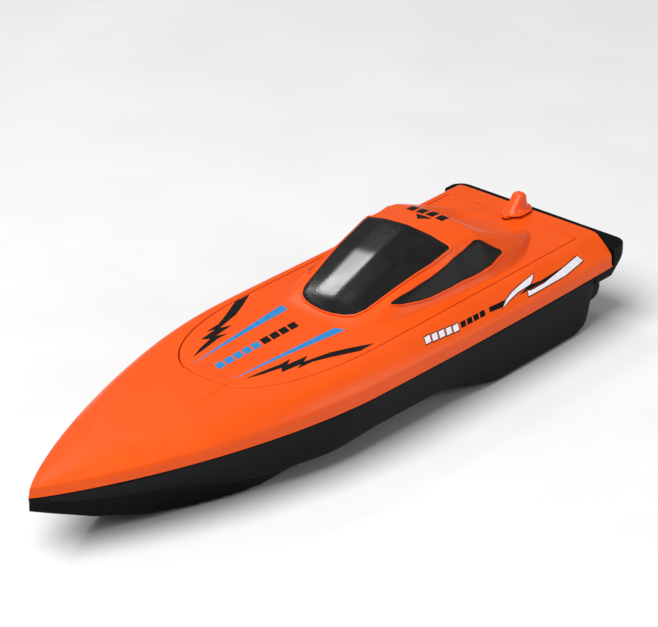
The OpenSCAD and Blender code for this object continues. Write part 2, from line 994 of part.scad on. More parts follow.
module equipment_tray() {
  color([0.1, 0.1, 0.11])
    difference() {
      union() {
        translate([tray_rear_x, -tray_half, tray_z - tray_thick])
          cube([tray_front_x - tray_rear_x, 2 * tray_half, tray_thick]);
        for (i = [0, 1], side = [-1, 1])
          translate([board_x + board_hole_x + i * (board_length - 2 * board_hole_x),
            side * board_hole_y, tray_z - 0.5])
            cylinder(h = board_z - tray_z + 0.5, d = 4);
      }
      for (i = [0, 1], side = [-1, 1])
        translate([board_x + board_hole_x + i * (board_length - 2 * board_hole_x),
          side * board_hole_y, tray_z - 3])
          cylinder(h = 8, d = 1.6);
      for (place = post_places, side = [-1, 1])
        translate([place[0], side * place[1], tray_z - 3])
          cylinder(h = 4, d = 2.6);
      for (side = [-1, 1])
        translate([strap_x - 1, side * (pack_half + 0.6) - 0.9, tray_z - 3])
          cube([strap_width + 2, 1.8, 4]);
    }
}

module tray_screws() {
  color([0.6, 0.6, 0.62])
    for (place = post_places, side = [-1, 1])
      translate([place[0], side * place[1], tray_z + eps])
        pan_screw(post_bore_d - 0.1, 7.5, 4.4, 1.5);
}

module battery_pack() {
  color([0.1, 0.35, 0.6])
    for (side = [-1, 1])
      translate([pack_x, side * (cell_d / 2 + 0.05), pack_z + cell_d / 2])
        rotate([0, 90, 0]) {
          cylinder(h = pack_length - 1, d = cell_d);
          translate([0, 0, pack_length - 1])
            cylinder(h = 1, d = 5);
        }
}

module battery_strap() {
  inner_half = pack_half + 0.1;
  outer_half = inner_half + strap_thick;
  low = tray_z - tray_thick - 0.2;
  high = pack_z + cell_d + 0.1;
  color([0.12, 0.12, 0.13])
    difference() {
      translate([strap_x, -outer_half, low - strap_thick])
        cube([strap_width, 2 * outer_half, high - low + 2 * strap_thick]);
      translate([strap_x - 1, -inner_half, low])
        cube([strap_width + 2, 2 * inner_half, high - low]);
    }
}

module battery_plug() {
  color([0.85, 0.2, 0.15])
    translate([13.5, -4, tray_z + eps])
      difference() {
        cube([7, 8, 5]);
        for (y = [2.4, 5.6])
          translate([2, y, 2.5])
            rotate([0, 90, 0])
              cylinder(h = 6, d = 1.6);
      }
}

module receiver_board() {
  color([0.05, 0.35, 0.15])
    difference() {
      translate([board_x, -board_half, board_z + eps])
        cube([board_length, 2 * board_half, board_thick]);
      for (i = [0, 1], side = [-1, 1])
        translate([board_x + board_hole_x + i * (board_length - 2 * board_hole_x),
          side * board_hole_y, board_z - 1])
          cylinder(h = 4, d = 2);
    }
}

module receiver_chips() {
  chip_z = board_z + board_thick + 2 * eps;
  color([0.08, 0.08, 0.08]) {
    translate([board_x + 10, -4, chip_z])
      cube([10, 8, 1.6]);
    translate([board_x + 10, 6, chip_z])
      cube([4, 4, 1.2]);
    translate([board_x + 17, 6, chip_z])
      cube([4, 4, 1.2]);
    for (y = [-6, -2, 2, 6])
      translate([board_x + 25, y, chip_z])
        cylinder(h = 5, d = 3.6);
    translate([board_x + 2, -5, chip_z])
      cube([4.5, 10, 5]);
  }
}

module board_screws() {
  color([0.6, 0.6, 0.62])
    for (i = [0, 1], side = [-1, 1])
      translate([board_x + board_hole_x + i * (board_length - 2 * board_hole_x),
        side * board_hole_y, board_z + board_thick + 2 * eps])
        pan_screw(1.5, 3.6, 3.2, 1.2);
}

slot_z = switch_z + 6;

module switch_body() {
  color([0.08, 0.08, 0.08])
    difference() {
      translate([switch_x - switch_length / 2, switch_y - 4, switch_z + eps])
        cube([switch_length, 7, 6]);
      translate([switch_x - 4.2, switch_y - 2.4, slot_z - 2.6])
        cube([8.4, 3.8, 4]);
    }
}

module switch_slider() {
  color([0.85, 0.2, 0.15])
    translate([switch_x - 3.8, switch_y - 2, slot_z - 2.2]) {
      cube([8.4 - switch_travel - 0.8, 3, 1.6]);
      translate([1, 0.4, 0])
        cube([2.6, 2.2, 5.2]);
    }
}

module water_contacts() {
  color([0.8, 0.65, 0.3])
    for (side = [-1, 1])
      translate([transom_x - 1.2, side * contact_y, contact_z])
        rotate([0, 90, 0]) {
          cylinder(h = 1.2, d = 4);
          cylinder(h = 8, d = 1.9);
        }
}

module bow_foam() {
  color([0.92, 0.92, 0.9])
    translate([68, 0, 19])
      linear_extrude(16)
        polygon([[0, 24], [56, 11], [56, -11], [0, -24]]);
}

hull_lower();
deck();
hatch_seal();
hatch_cover();
windshield();
side_window_port();
side_window_starboard();
hatch_latch();
latch_washer();
latch_screw();
propeller_port();
propeller_starboard();
prop_shaft_port();
prop_shaft_starboard();
coupling_port();
coupling_starboard();
armature_port();
armature_starboard();
stern_tube_port();
stern_tube_starboard();
tube_bushes();
motor_can_port();
motor_can_starboard();
motor_endbell_port();
motor_endbell_starboard();
motor_cradle();
motor_clamp_port();
motor_clamp_starboard();
clamp_screws();
equipment_tray();
tray_screws();
battery_pack();
battery_strap();
battery_plug();
receiver_board();
receiver_chips();
board_screws();
switch_body();
switch_slider();
water_contacts();
bow_foam();
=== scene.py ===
"""Looks of the radio-controlled speedboat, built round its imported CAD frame.

Shapes are worked out in millimetres: +X is the bow, +Y is port, +Z is up.
"""

import json
import math

import bmesh
import bpy
import numpy as np
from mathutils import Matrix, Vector
from mathutils.geometry import delaunay_2d_cdt


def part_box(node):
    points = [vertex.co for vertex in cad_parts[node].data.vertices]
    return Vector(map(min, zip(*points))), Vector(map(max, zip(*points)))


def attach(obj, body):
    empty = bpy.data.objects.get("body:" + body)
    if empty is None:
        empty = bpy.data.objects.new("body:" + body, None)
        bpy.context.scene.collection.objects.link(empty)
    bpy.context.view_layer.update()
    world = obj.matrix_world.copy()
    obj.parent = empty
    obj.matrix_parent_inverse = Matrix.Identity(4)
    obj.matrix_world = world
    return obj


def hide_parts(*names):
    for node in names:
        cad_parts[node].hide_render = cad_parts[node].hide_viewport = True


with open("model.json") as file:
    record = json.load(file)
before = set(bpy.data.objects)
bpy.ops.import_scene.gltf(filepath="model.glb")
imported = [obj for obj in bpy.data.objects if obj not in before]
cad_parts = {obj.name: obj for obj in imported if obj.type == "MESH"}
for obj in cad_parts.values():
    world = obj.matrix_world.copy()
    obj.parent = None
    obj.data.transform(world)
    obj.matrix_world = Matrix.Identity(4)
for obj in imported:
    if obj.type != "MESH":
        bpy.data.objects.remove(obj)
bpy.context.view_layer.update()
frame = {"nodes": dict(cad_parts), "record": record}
SIDES = ((1, "port"), (-1, "starboard"))

# ---------- driving sizes, in millimetres ----------

MM = 0.001


def node_box(name):
    """Lowest and highest corner of a CAD node, in millimetres."""
    low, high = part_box(name)
    return np.array(low) / MM, np.array(high) / MM


deck_low, deck_high = node_box("deck")
hull_low, hull_high = node_box("hull_lower")
HALF_BEAM = deck_high[1]
BOW_X = deck_high[0]
STERN_X = hull_low[0]
DECK_REAR_X = deck_low[0]
DECK_Z = deck_high[2]
SEAM_Z = deck_low[2]
LIP_Z = SEAM_Z + 5.2
# The deck is widest at WIDEST_X. Its sides curve in ahead of SHOULDER_X, its flat middle and the
# sides of the hatch ahead of ARC_X.
WIDEST_X = -75.0
AFT_LENGTH = 88.0
STERN_TUCK = 1.2
SHOULDER_X = 5.0
ARC_X = -11.0
FLAT_HALF = 41.5
FLAT_LENGTH = 135.0
HATCH_REAR_X = -151.0
HATCH_FRONT_X = 66.0
HATCH_HALF = 39.0
HATCH_GAP = 0.5
LEAN = 0.5
CREASE_R = 1.6
BOW_BEND = 5.0
SPINE_X = 54.0
SPINE_H = 0.8
SPINE_HALF = 11.2
SPINE_FADE = 38.0
CABIN_R = 1.8
LINE_R = 3.0

# Cabin lines: (station, height above the deck) and (station, half-width).
CENTRE_LINE = [(-139, 0), (-130, 1.2), (-120, 4.8), (-108, 11.6), (-99, 18.8), (-94, 22.0),
               (-72, 22.9), (-50, 16.5), (-30, 9.2), (-20, 5.2), (-13, 1.6), (-8, 0)]
RIDGE_LINE = [(-145, 0), (-140, 0.9), (-114, 11.4), (-99, 17.2), (-92, 19.6), (-72, 19.3),
              (-50, 13.6), (-30, 7.2), (-20, 4.0), (-13, 1.3), (-8, 0)]
RIDGE_HALF = [(-146, 11), (-137, 19.5), (-130, 21.5), (-114, 23), (-92, 24), (-72, 24.6),
              (-24, 19.2), (-8, 14)]
FOOT_HALF = [(-146, 14), (-137, 22), (-129, 27), (-120, 31.5), (-108, 34.5), (-92, 35.5),
             (-60, 34.5), (-28, 30), (-8, 24)]
WINDOW_TOP_SHARE = [(-100, 0.30), (-72, 0.33), (-60, 0.40), (-28, 0.53)]
WINDOW_FOOT_SHARE = [(-100, 0.74), (-60, 0.78), (-28, 0.72)]
WINDOW_TOP_HEIGHT = [(-100, 0.87), (-90, 0.855), (-80, 0.72), (-62, 0.66), (-32, 0.78)]
WINDOW_FOOT_HEIGHT = [(-102, 0.50), (-82, 0.27), (-59, 0.2), (-43, 0.34), (-30, 0.5)]
SHELF_Z = 41.0
SKIRT_Z = SHELF_Z + 1.5
WALL = 1.8
EDGE_R = 0.45
CORNER_R = 2.2
TRANSOM_X = -150.0
PLATFORM_HALF = 51.6
PLATFORM_Z = hull_high[2]
LATCH_X = -157.0
PIN_D = 5.0
LATCH_Z = DECK_Z + 0.3
SHAFT_Y, SHAFT_Z, SHAFT_R = 20.0, 12.5, 1.0

# ---------- lines of the boat ----------


def mix(a, b, t):
    """The value between a and b at share t."""
    return a + (b - a) * t


def ease(t):
    """A soft step from 0 to 1."""
    u = np.clip(t, 0, 1)
    return u * u * (3 - 2 * u)


def kernel(radius, count=9):
    """Shifts and weights of a soft average over a width of twice the radius."""
    shifts = np.linspace(-1, 1, count + 2)[1:-1]
    weights = 1 + np.cos(math.pi * shifts)
    return list(zip(shifts * radius, weights / weights.sum()))


def table(x, rows, radius=0.0):
    """Straight lines between the rows, with the corners rounded over the radius."""
    places, values = zip(*rows)
    steps = kernel(radius) if radius else [(0.0, 1.0)]
    return sum(w * np.interp(x + s, places, values) for s, w in steps)


def beam(x):
    """Half-beam of the deck edge at station x."""
    aft = HALF_BEAM - STERN_TUCK * ((x - WIDEST_X) / AFT_LENGTH) ** 2
    reach = np.clip((x - SHOULDER_X) / (BOW_X - SHOULDER_X), 0, 1)
    fore = (HALF_BEAM - 1) * (1 - reach**1.75) ** 0.9
    return np.where(x <= SHOULDER_X, aft, fore)


def deck_top(x):
    """Height of the deck on the centre line, without the spine."""
    return DECK_Z - (DECK_Z - LIP_Z) * (np.maximum(x, 0) / BOW_X) ** 2.2


def flat_half(x):
    """Half-width of the flat middle of the deck."""
    return FLAT_HALF * np.clip(1 - (np.maximum(x - ARC_X, 0) / FLAT_LENGTH) ** 2.4, 0, 1) ** 0.8


def spine(x, y):
    """Raised strip on the foredeck that fades towards the bow."""
    fade = ease((x - SPINE_X) / 10) * (1 - ease((x - HATCH_FRONT_X) / SPINE_FADE))
    return SPINE_H * fade * (1 - ease((np.abs(y) - SPINE_HALF) / 2.4))


def deck_height(x, y):
    """Height of the deck surface, with a soft crease between flat and bevel."""
    flat = np.minimum(flat_half(x), beam(x) - 1)
    bow = ease((x - HATCH_FRONT_X) / 50)
    bend = CREASE_R + BOW_BEND * bow
    round_y = 0.01 + BOW_BEND * bow
    out = np.hypot(y, round_y) - round_y - flat
    run = np.hypot(np.maximum(beam(x) - LEAN, 0.4), round_y) - round_y - flat
    power = 1.05 + 1.1 * ease((x + 120) / 240)
    q = np.clip((out + np.hypot(out, bend)) / (run + np.hypot(run, bend)), 0, 1) ** power
    return mix(deck_top(x), LIP_Z, q) + spine(x, y)


def hatch_width(x, grow=0.0):
    """Half-width of the hatch at station x."""
    aft = mix(HATCH_HALF - 1, HATCH_HALF, (x - HATCH_REAR_X) / (ARC_X - HATCH_REAR_X)) + grow
    reach = np.clip((x - ARC_X) / (HATCH_FRONT_X - ARC_X + grow), 0, 1)
    fore = (HATCH_HALF + grow) * (1 - reach**2.5) ** 0.4
    return np.where(x < ARC_X, aft, fore)


def cabin_profile(x):
    """Half-widths and heights of the cabin section at station x, from the centre out."""
    lines = (CENTRE_LINE, RIDGE_LINE, RIDGE_HALF, FOOT_HALF)
    centre, ridge, ridge_y, foot_y = (table(x, rows, LINE_R) for rows in lines)
    hollow = ease((-100 - x) / 12)
    crown_y = ridge_y * mix(0.55, 0.66, hollow)
    crown = mix(mix(ridge, centre, 0.68), centre, hollow)
    high_y = mix(ridge_y, foot_y, table(x, WINDOW_TOP_SHARE, LINE_R))
    low_y = mix(ridge_y, foot_y, table(x, WINDOW_FOOT_SHARE, LINE_R))
    high = ridge * table(x, WINDOW_TOP_HEIGHT, LINE_R)
    low = ridge * table(x, WINDOW_FOOT_HEIGHT, LINE_R)
    zero = np.zeros_like(centre)
    return [(zero, centre), (crown_y, crown), (ridge_y, ridge), (high_y, high), (low_y, low),
            (foot_y, zero)]


def cabin_height(x, y):
    """Height of the cabin above the deck surface."""
    profile = cabin_profile(x)
    total = 0.0
    for shift, weight in kernel(CABIN_R):
        out = np.abs(y + shift)
        height = profile[0][1]
        for (y0, h0), (y1, h1) in zip(profile, profile[1:]):
            height = height + (h1 - h0) * np.clip((out - y0) / np.maximum(y1 - y0, 0.1), 0, 1)
        total = total + weight * height
    return total


def hatch_height(x, y):
    """Height of the top of the hatch."""
    return deck_height(x, y) + cabin_height(x, y)


# ---------- mesh helpers ----------


def unit(v):
    """Vectors scaled to length 1."""
    return v / np.maximum(np.linalg.norm(v, axis=-1, keepdims=True), 1e-9)


def quarter(count):
    """Evenly spaced angles over a quarter turn."""
    return np.linspace(0, math.pi / 2, count)


def grid_faces(rows, cols, close_rows=False, close_cols=False):
    """Quads of a grid of points that may close on itself either way."""
    faces = []
    for i in range(rows if close_rows else rows - 1):
        for j in range(cols if close_cols else cols - 1):
            a, b = i * cols + j, i * cols + (j + 1) % cols
            c, d = (i + 1) % rows * cols + (j + 1) % cols, (i + 1) % rows * cols + j
            faces.append((a, b, c, d))
    return faces


def band(first, second):
    """Quads between two closed rings of equally many point numbers."""
    after = [(i + 1) % len(first) for i in range(len(first))]
    return [(first[i], first[j], second[j], second[i]) for i, j in enumerate(after)]


def loft(sections, close=False):
    """A shell over closed sections with equally many points."""
    rows, cols = len(sections), len(sections[0])
    faces = grid_faces(rows, cols, close, True)
    if not close:
        faces.append(tuple(range(cols)))
        faces.append(tuple(range((rows - 1) * cols, rows * cols)))
    return np.concatenate(sections), faces


def resample(points, count, closed=False):
    """Evenly spaced points along a line."""
    points = np.asarray(points, float)
    if closed:
        points = np.vstack([points, points[:1]])
    steps = np.r_[0, np.cumsum(np.linalg.norm(np.diff(points, axis=0), axis=1))]
    at = np.linspace(0, steps[-1], count, endpoint=not closed)
    return np.stack([np.interp(at, steps, points[:, k]) for k in range(points.shape[1])], 1)


def bell(reach):
    """Weights of a soft average over the steps from -reach to reach."""
    weights = 1 + np.cos(math.pi * np.arange(-reach, reach + 1) / (reach + 1))
    return weights / weights.sum()


def soften_loop(points, radius, step=0.5):
    """A closed line with its corners rounded over the radius."""
    points = np.asarray(points, float)
    size = np.linalg.norm(np.diff(np.vstack([points, points[:1]]), axis=0), axis=1).sum()
    even = resample(points, max(int(size / step), 12), True)
    reach = max(int(round(radius / step)), 1)
    return sum(w * np.roll(even, k, axis=0) for k, w in zip(range(-reach, reach + 1), bell(reach)))


def soften_line(points, radius, count):
    """An open line with its corners rounded over the radius and its ends kept."""
    fine = resample(points, 4 * count)
    size = np.linalg.norm(np.diff(fine, axis=0), axis=1).sum()
    reach = max(int(round(radius / size * len(fine))), 1)
    padded = np.vstack([2 * fine[0] - fine[reach:0:-1], fine, 2 * fine[-1] - fine[-2 : -reach - 2 : -1]])
    soft = sum(w * padded[k : k + len(fine)] for k, w in enumerate(bell(reach)))
    return resample(soft, count)


def plan_sign(loop):
    """1 for a plan outline that runs anticlockwise, -1 for a clockwise one."""
    area = np.sum(loop[:, 0] * np.roll(loop[:, 1], -1) - np.roll(loop[:, 0], -1) * loop[:, 1])
    return 1 if area > 0 else -1


def outward(loop):
    """Outward unit normals of a closed plan outline."""
    along = np.roll(loop, -1, axis=0) - np.roll(loop, 1, axis=0)
    normal = unit(np.stack([along[:, 1], -along[:, 0]], 1))
    return normal * plan_sign(loop)


def mirror_y(points):
    """The same points on the other side of the boat."""
    return np.asarray(points, float) * np.array([1, -1] + [1] * (len(points[0]) - 2))


def lathe(profile, at, count=32):
    """A closed (along, radius) profile turned about an axis parallel to X."""
    profile = np.asarray(profile, float)
    sections = []
    for turn in np.arange(count) * math.tau / count:
        y, z = profile[:, 1] * math.cos(turn), profile[:, 1] * math.sin(turn)
        sections.append(np.stack([at[0] + profile[:, 0], at[1] + y, at[2] + z], 1))
    return loft(sections, close=True)


def upright(profile, at, count=32):
    """A closed (height, radius) profile turned about a vertical axis."""
    points, faces = lathe(profile, (0, 0, 0), count)
    return np.stack([at[0] + points[:, 1], at[1] + points[:, 2], at[2] + points[:, 0]], 1), faces


def bar(radius, low, high):
    """Closed profile of a plain round bar, with a point on the axis at each end."""
    return [(low, 0.001), (low, radius), (high, radius), (high, 0.001)]


def build_mesh(name, shells):
    """One mesh object, in metres, from shells in millimetres."""
    bm = bmesh.new()
    for points, faces in shells:
        corners = [bm.verts.new(Vector(p) * MM) for p in np.asarray(points, float)]
        for face in faces:
            bm.faces.new([corners[i] for i in face])
    bmesh.ops.remove_doubles(bm, verts=bm.verts, dist=2e-7)
    bmesh.ops.dissolve_degenerate(bm, edges=bm.edges, dist=1e-7)
    bmesh.ops.recalc_face_normals(bm, faces=bm.faces)
    mesh = bpy.data.meshes.new(name)
    bm.to_mesh(mesh)
    bm.free()
    piece = bpy.data.objects.new(name, mesh)
    bpy.context.scene.collection.objects.link(piece)
    return piece


def carve(piece, cutters):
    """Cuts closed shells out of a piece."""
    tool = build_mesh("cutter", cutters)
    cut = piece.modifiers.new("cut", "BOOLEAN")
    cut.operation = "DIFFERENCE"
    cut.solver = "EXACT"
    cut.use_self = True
    cut.object = tool
    result = piece.evaluated_get(bpy.context.evaluated_depsgraph_get())
    piece.data = bpy.data.meshes.new_from_object(result)
    piece.modifiers.clear()
    bpy.data.objects.remove(tool)


def settle(piece, body, material, nodes=(), crisp=38):
    """Shades a finished piece, gives it its finish, fixes it to its body and hides the CAD nodes it stands
    in for.

    Edges sharper than the crisp angle, in degrees, stay sharp.
    """
    bm = bmesh.new()
    bm.from_mesh(piece.data)
    for face in bm.faces:
        face.smooth = True
    for edge in bm.edges:
        edge.smooth = edge.calc_face_angle(0.0) < math.radians(crisp)
    bm.to_mesh(piece.data)
    bm.free()
    piece.data.materials.clear()
    piece.data.materials.append(material)
    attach(piece, body)
    if nodes:
        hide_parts(*nodes)


def on_surface(height, plan, lift):
    """Points at a distance above a height field, along its normal."""
    x, y = plan[:, 0], plan[:, 1]
    step = 0.1
    slope_x = (height(x + step, y) - height(x - step, y)) / (2 * step)
    slope_y = (height(x, y + step) - height(x, y - step)) / (2 * step)
    normal = unit(np.stack([-slope_x, -slope_y, np.ones_like(x)], 1))
    return np.stack([x, y, height(x, y)], 1) + normal * np.asarray(lift).reshape(-1, 1)


def inside(points, loop):
    """Which points lie inside a closed plan outline."""
    hit = np.zeros(len(points), bool)
    for a, b in zip(loop, np.roll(loop, -1, axis=0)):
        spans = (a[1] > points[:, 1]) != (b[1] > points[:, 1])
        at = a[0] + (points[:, 1] - a[1]) * (b[0] - a[0]) / (b[1] - a[1] if b[1] != a[1] else 1e-9)
        hit ^= spans & (points[:, 0] < at)
    return hit


def sheet(outline, height, lift, drop, edge_r, cell):
    """A closed sheet over a height field, inside a plan outline, with a rounded edge."""
    border = np.asarray(outline, float)
    low, high = border.min(0), border.max(0)
    xs, ys = np.arange(low[0], high[0], cell), np.arange(low[1], high[1], cell)
    field = np.array([(x, y + (i % 2) * cell / 2) for i, x in enumerate(xs) for y in ys]).reshape(-1, 2)
    field = field[inside(field, border)]
    if len(field):
        gap = np.min(np.linalg.norm(field[:, None] - border[None], axis=2), axis=1)
        field = field[gap > 0.55 * cell]
    plan = np.vstack([border, field])
    count = len(border)
    edges = [(i, (i + 1) % count) for i in range(count)]
    result = delaunay_2d_cdt([Vector(p) for p in plan], edges, [], 1, 1e-7)
    flat = np.array([(v.x, v.y) for v in result[0]])
    place = {old: new for new, olds in enumerate(result[3]) for old in olds}
    ring = [place[i] for i in range(count)]
    normal = outward(flat[ring])
    top = on_surface(height, flat, lift)
    under = on_surface(height, flat, -drop)
    points, faces = [top], [tuple(t) for t in result[2]]
    last, base = ring, len(flat)
    turns = quarter(5)[1:] if edge_r else [math.pi / 2]
    for turn in turns:
        out = flat[ring] + normal * edge_r * math.sin(turn)
        points.append(on_surface(height, out, lift - edge_r * (1 - math.cos(turn))))
        loop = list(range(base, base + count))
        faces += band(last, loop)
        last, base = loop, base + count
    points.append(under)
    faces += band(last, [base + i for i in ring])
    faces += [tuple(base + i for i in reversed(t)) for t in result[2]]
    return np.concatenate(points), faces


def bead(outline, height, radius, sink):
    """A round bead that follows a closed outline on a height field."""
    loop = np.asarray(outline, float)
    centre = on_surface(height, loop, radius - sink)
    above = unit(on_surface(height, loop, 1.0) - on_surface(height, loop, 0.0))
    along = unit(np.roll(centre, -1, axis=0) - np.roll(centre, 1, axis=0))
    across = unit(np.cross(along, above))
    turns = np.arange(10) * math.tau / 10
    sections = [centre + radius * (math.cos(t) * across + math.sin(t) * above) for t in turns]
    return loft(list(np.stack(sections, 1)), close=True)


# ---------- finishes ----------


def put(node, values):
    """Sets inputs of a shader node."""
    for key, value in values.items():
        node.inputs[key].default_value = value


def finish(name, dark, light, rough, metallic=0.0, mottle=9.0, grain=0.5, relief=0.01,
           stretch=(1, 1, 1), pattern="noise", specular=0.5):
    """A procedural finish. Mottle, grain and relief are sizes in millimetres."""
    material = bpy.data.materials.new(name)
    material.use_nodes = True
    nodes, links = material.node_tree.nodes, material.node_tree.links
    shader = nodes["Principled BSDF"]
    put(shader, {"Metallic": metallic, "Specular IOR Level": specular})
    place = nodes.new("ShaderNodeTexCoord")
    scale = nodes.new("ShaderNodeMapping")
    put(scale, {"Scale": stretch})
    links.new(place.outputs["Object"], scale.inputs["Vector"])
    broad = nodes.new("ShaderNodeTexNoise")
    put(broad, {"Scale": 1 / (mottle * MM), "Detail": 4.0})
    links.new(scale.outputs["Vector"], broad.inputs["Vector"])
    shade = nodes.new("ShaderNodeValToRGB")
    shade.color_ramp.elements[0].position = 0.3
    shade.color_ramp.elements[0].color = (*dark, 1)
    shade.color_ramp.elements[1].position = 0.7
    shade.color_ramp.elements[1].color = (*light, 1)
    links.new(broad.outputs["Fac"], shade.inputs["Fac"])
    links.new(shade.outputs["Color"], shader.inputs["Base Color"])
    kinds = {"noise": "ShaderNodeTexNoise", "cells": "ShaderNodeTexVoronoi", "weave": "ShaderNodeTexWave"}
    fine = nodes.new(kinds[pattern])
    put(fine, {"Scale": 1 / (grain * MM)})
    links.new(scale.outputs["Vector"], fine.inputs["Vector"])
    texture = fine.outputs["Distance" if pattern == "cells" else "Fac"]
    spread = nodes.new("ShaderNodeMapRange")
    put(spread, {"From Min": 0.25, "From Max": 0.75, "To Min": rough[0], "To Max": rough[1]})
    links.new(broad.outputs["Fac"], spread.inputs["Value"])
    links.new(spread.outputs["Result"], shader.inputs["Roughness"])
    bump = nodes.new("ShaderNodeBump")
    put(bump, {"Strength": 1.0, "Distance": relief * MM})
    links.new(texture, bump.inputs["Height"])
    links.new(bump.outputs["Normal"], shader.inputs["Normal"])
    return material


ORANGE = ((0.78, 0.083, 0.005), (0.83, 0.093, 0.006))
BLACK = ((0.003, 0.003, 0.0035), (0.005, 0.005, 0.0055))
CHARCOAL = ((0.010, 0.010, 0.011), (0.020, 0.020, 0.021))
FINISHES = {
    "hull_black": finish("hull_black", *BLACK, (0.42, 0.50), grain=0.35, relief=0.010, specular=0.06),
    "deck_orange": finish("deck_orange", *ORANGE, (0.33, 0.37), mottle=30, grain=0.6, relief=0.002,
                          specular=0.22),
    "latch_orange": finish("latch_orange", *ORANGE, (0.26, 0.31), mottle=8, grain=0.5, relief=0.002,
                           specular=0.3),
    "window_gloss": finish("window_gloss", (0.004, 0.004, 0.004), (0.008, 0.008, 0.008), (0.15, 0.18),
                           mottle=9, grain=0.8, relief=0.045),
    "window_satin": finish("window_satin", (0.006, 0.006, 0.006), (0.010, 0.010, 0.010), (0.38, 0.46),
                           mottle=3, grain=0.4, relief=0.012, specular=0.15),
    "seal_foam": finish("seal_foam", (0.010, 0.010, 0.010), (0.022, 0.022, 0.022), (0.80, 0.95),
                        mottle=1.2, grain=0.5, relief=0.10, pattern="cells"),
    "screw_steel": finish("screw_steel", (0.42, 0.42, 0.43), (0.58, 0.58, 0.60), (0.25, 0.38), 1.0,
                          mottle=1.0, grain=0.25, relief=0.006),
    "shaft_steel": finish("shaft_steel", (0.55, 0.55, 0.57), (0.66, 0.66, 0.68), (0.12, 0.22), 1.0,
                          mottle=2.0, grain=0.2, relief=0.003, stretch=(4, 1, 1)),
    "turned_brass": finish("turned_brass", (0.60, 0.38, 0.11), (0.74, 0.50, 0.18), (0.20, 0.32), 1.0,
                           mottle=1.5, grain=0.25, relief=0.006, stretch=(5, 1, 1)),
    "rotor_copper": finish("rotor_copper", (0.48, 0.15, 0.06), (0.68, 0.27, 0.12), (0.25, 0.4), 1.0,
                           mottle=0.8, grain=0.45, relief=0.10, pattern="weave"),
    "bush_nylon": finish("bush_nylon", (0.66, 0.66, 0.60), (0.76, 0.76, 0.71), (0.40, 0.52),
                         mottle=1.0, grain=0.3, relief=0.006),
    "can_steel": finish("can_steel", (0.42, 0.43, 0.44), (0.55, 0.56, 0.58), (0.28, 0.40), 1.0,
                        mottle=3.0, grain=0.3, relief=0.006, stretch=(0.3, 1, 1)),
    "endbell_black": finish("endbell_black", *BLACK, (0.30, 0.40), mottle=2, grain=0.4, relief=0.01),
    "clamp_steel": finish("clamp_steel", (0.40, 0.40, 0.41), (0.54, 0.54, 0.56), (0.26, 0.36), 1.0,
                          mottle=2.5, grain=0.3, relief=0.006, stretch=(1, 0.3, 1)),
    "tray_black": finish("tray_black", (0.012, 0.012, 0.013), (0.022, 0.022, 0.023), (0.45, 0.58),
                         mottle=7, grain=0.5, relief=0.02),
    "battery_wrap": finish("battery_wrap", (0.008, 0.075, 0.22), (0.015, 0.11, 0.30), (0.16, 0.26),
                           mottle=6, grain=1.6, relief=0.03, stretch=(0.4, 1, 1)),
    "strap_webbing": finish("strap_webbing", (0.010, 0.010, 0.011), (0.024, 0.024, 0.026), (0.75, 0.92),
                            mottle=1.0, grain=0.55, relief=0.12, pattern="weave"),
    "plug_red": finish("plug_red", (0.42, 0.018, 0.010), (0.55, 0.030, 0.016), (0.26, 0.36),
                       mottle=2, grain=0.3, relief=0.008),
    "board_green": finish("board_green", (0.008, 0.095, 0.030), (0.018, 0.150, 0.048), (0.22, 0.34),
                          mottle=1.6, grain=0.7, relief=0.03, pattern="cells"),
    "chip_black": finish("chip_black", *CHARCOAL, (0.50, 0.62),
                         mottle=1.0, grain=0.2, relief=0.01),
    "propeller_black": finish("propeller_black", *BLACK, (0.22, 0.32), mottle=3, grain=0.4, relief=0.008),
    "switch_black": finish("switch_black", *CHARCOAL, (0.42, 0.55),
                           mottle=1.6, grain=0.3, relief=0.012),
    "foam_white": finish("foam_white", (0.66, 0.66, 0.63), (0.80, 0.80, 0.78), (0.82, 0.95),
                         mottle=2.2, grain=1.4, relief=0.25, pattern="cells"),
}
PRINTS = {
    "black": finish("print_black", (0.003, 0.003, 0.003), (0.005, 0.005, 0.005), (0.30, 0.40),
                    mottle=3, grain=0.4, relief=0.004, specular=0.2),
    "blue": finish("print_blue", (0.018, 0.20, 0.50), (0.028, 0.25, 0.58), (0.28, 0.38),
                   mottle=3, grain=0.4, relief=0.004, specular=0.2),
    "white": finish("print_white", (0.72, 0.68, 0.73), (0.84, 0.80, 0.85), (0.28, 0.38),
                    mottle=3, grain=0.4, relief=0.004),
}

for part in frame["record"]["subparts"]:
    node = frame["nodes"][part["node"]]
    node.data.materials.clear()
    node.data.materials.append(FINISHES[part["material_slot"]])

# ---------- deck ----------

TIP_POWER = 1.6  # more than 1 packs the columns towards the front


def ring_plan(half, arc_steps, rear_steps=26, corner_steps=8, side_steps=90):
    """Plan loop from the rear centre round the port side to the front, then back to starboard."""
    turns = np.linspace(0, math.pi / 2, corner_steps, endpoint=False)
    rows = [half("rear", t) for t in np.linspace(0, 1, rear_steps, endpoint=False)]
    rows += [half("corner", t) for t in turns]
    rows += [half("side", t) for t in np.linspace(0, 1, side_steps, endpoint=False)]
    rows += [half("arc", 1 - (1 - t) ** TIP_POWER) for t in np.linspace(0, 1, arc_steps + 1)]
    port = np.array(rows, float)
    return np.vstack([port, mirror_y(port[-2:0:-1])])


def deck_half(part, t):
    """Half of the outer edge of the deck in plan."""
    side = float(beam(DECK_REAR_X + CORNER_R))
    if part == "rear":
        return DECK_REAR_X, (side - CORNER_R) * t
    if part == "corner":
        return DECK_REAR_X + CORNER_R * (1 - math.cos(t)), side - CORNER_R * (1 - math.sin(t))
    if part == "side":
        x = mix(DECK_REAR_X + CORNER_R, ARC_X, t)
        return x, float(beam(x))
    x = mix(ARC_X, BOW_X, t)
    return x, float(beam(x)) if t < 1 else 0.0


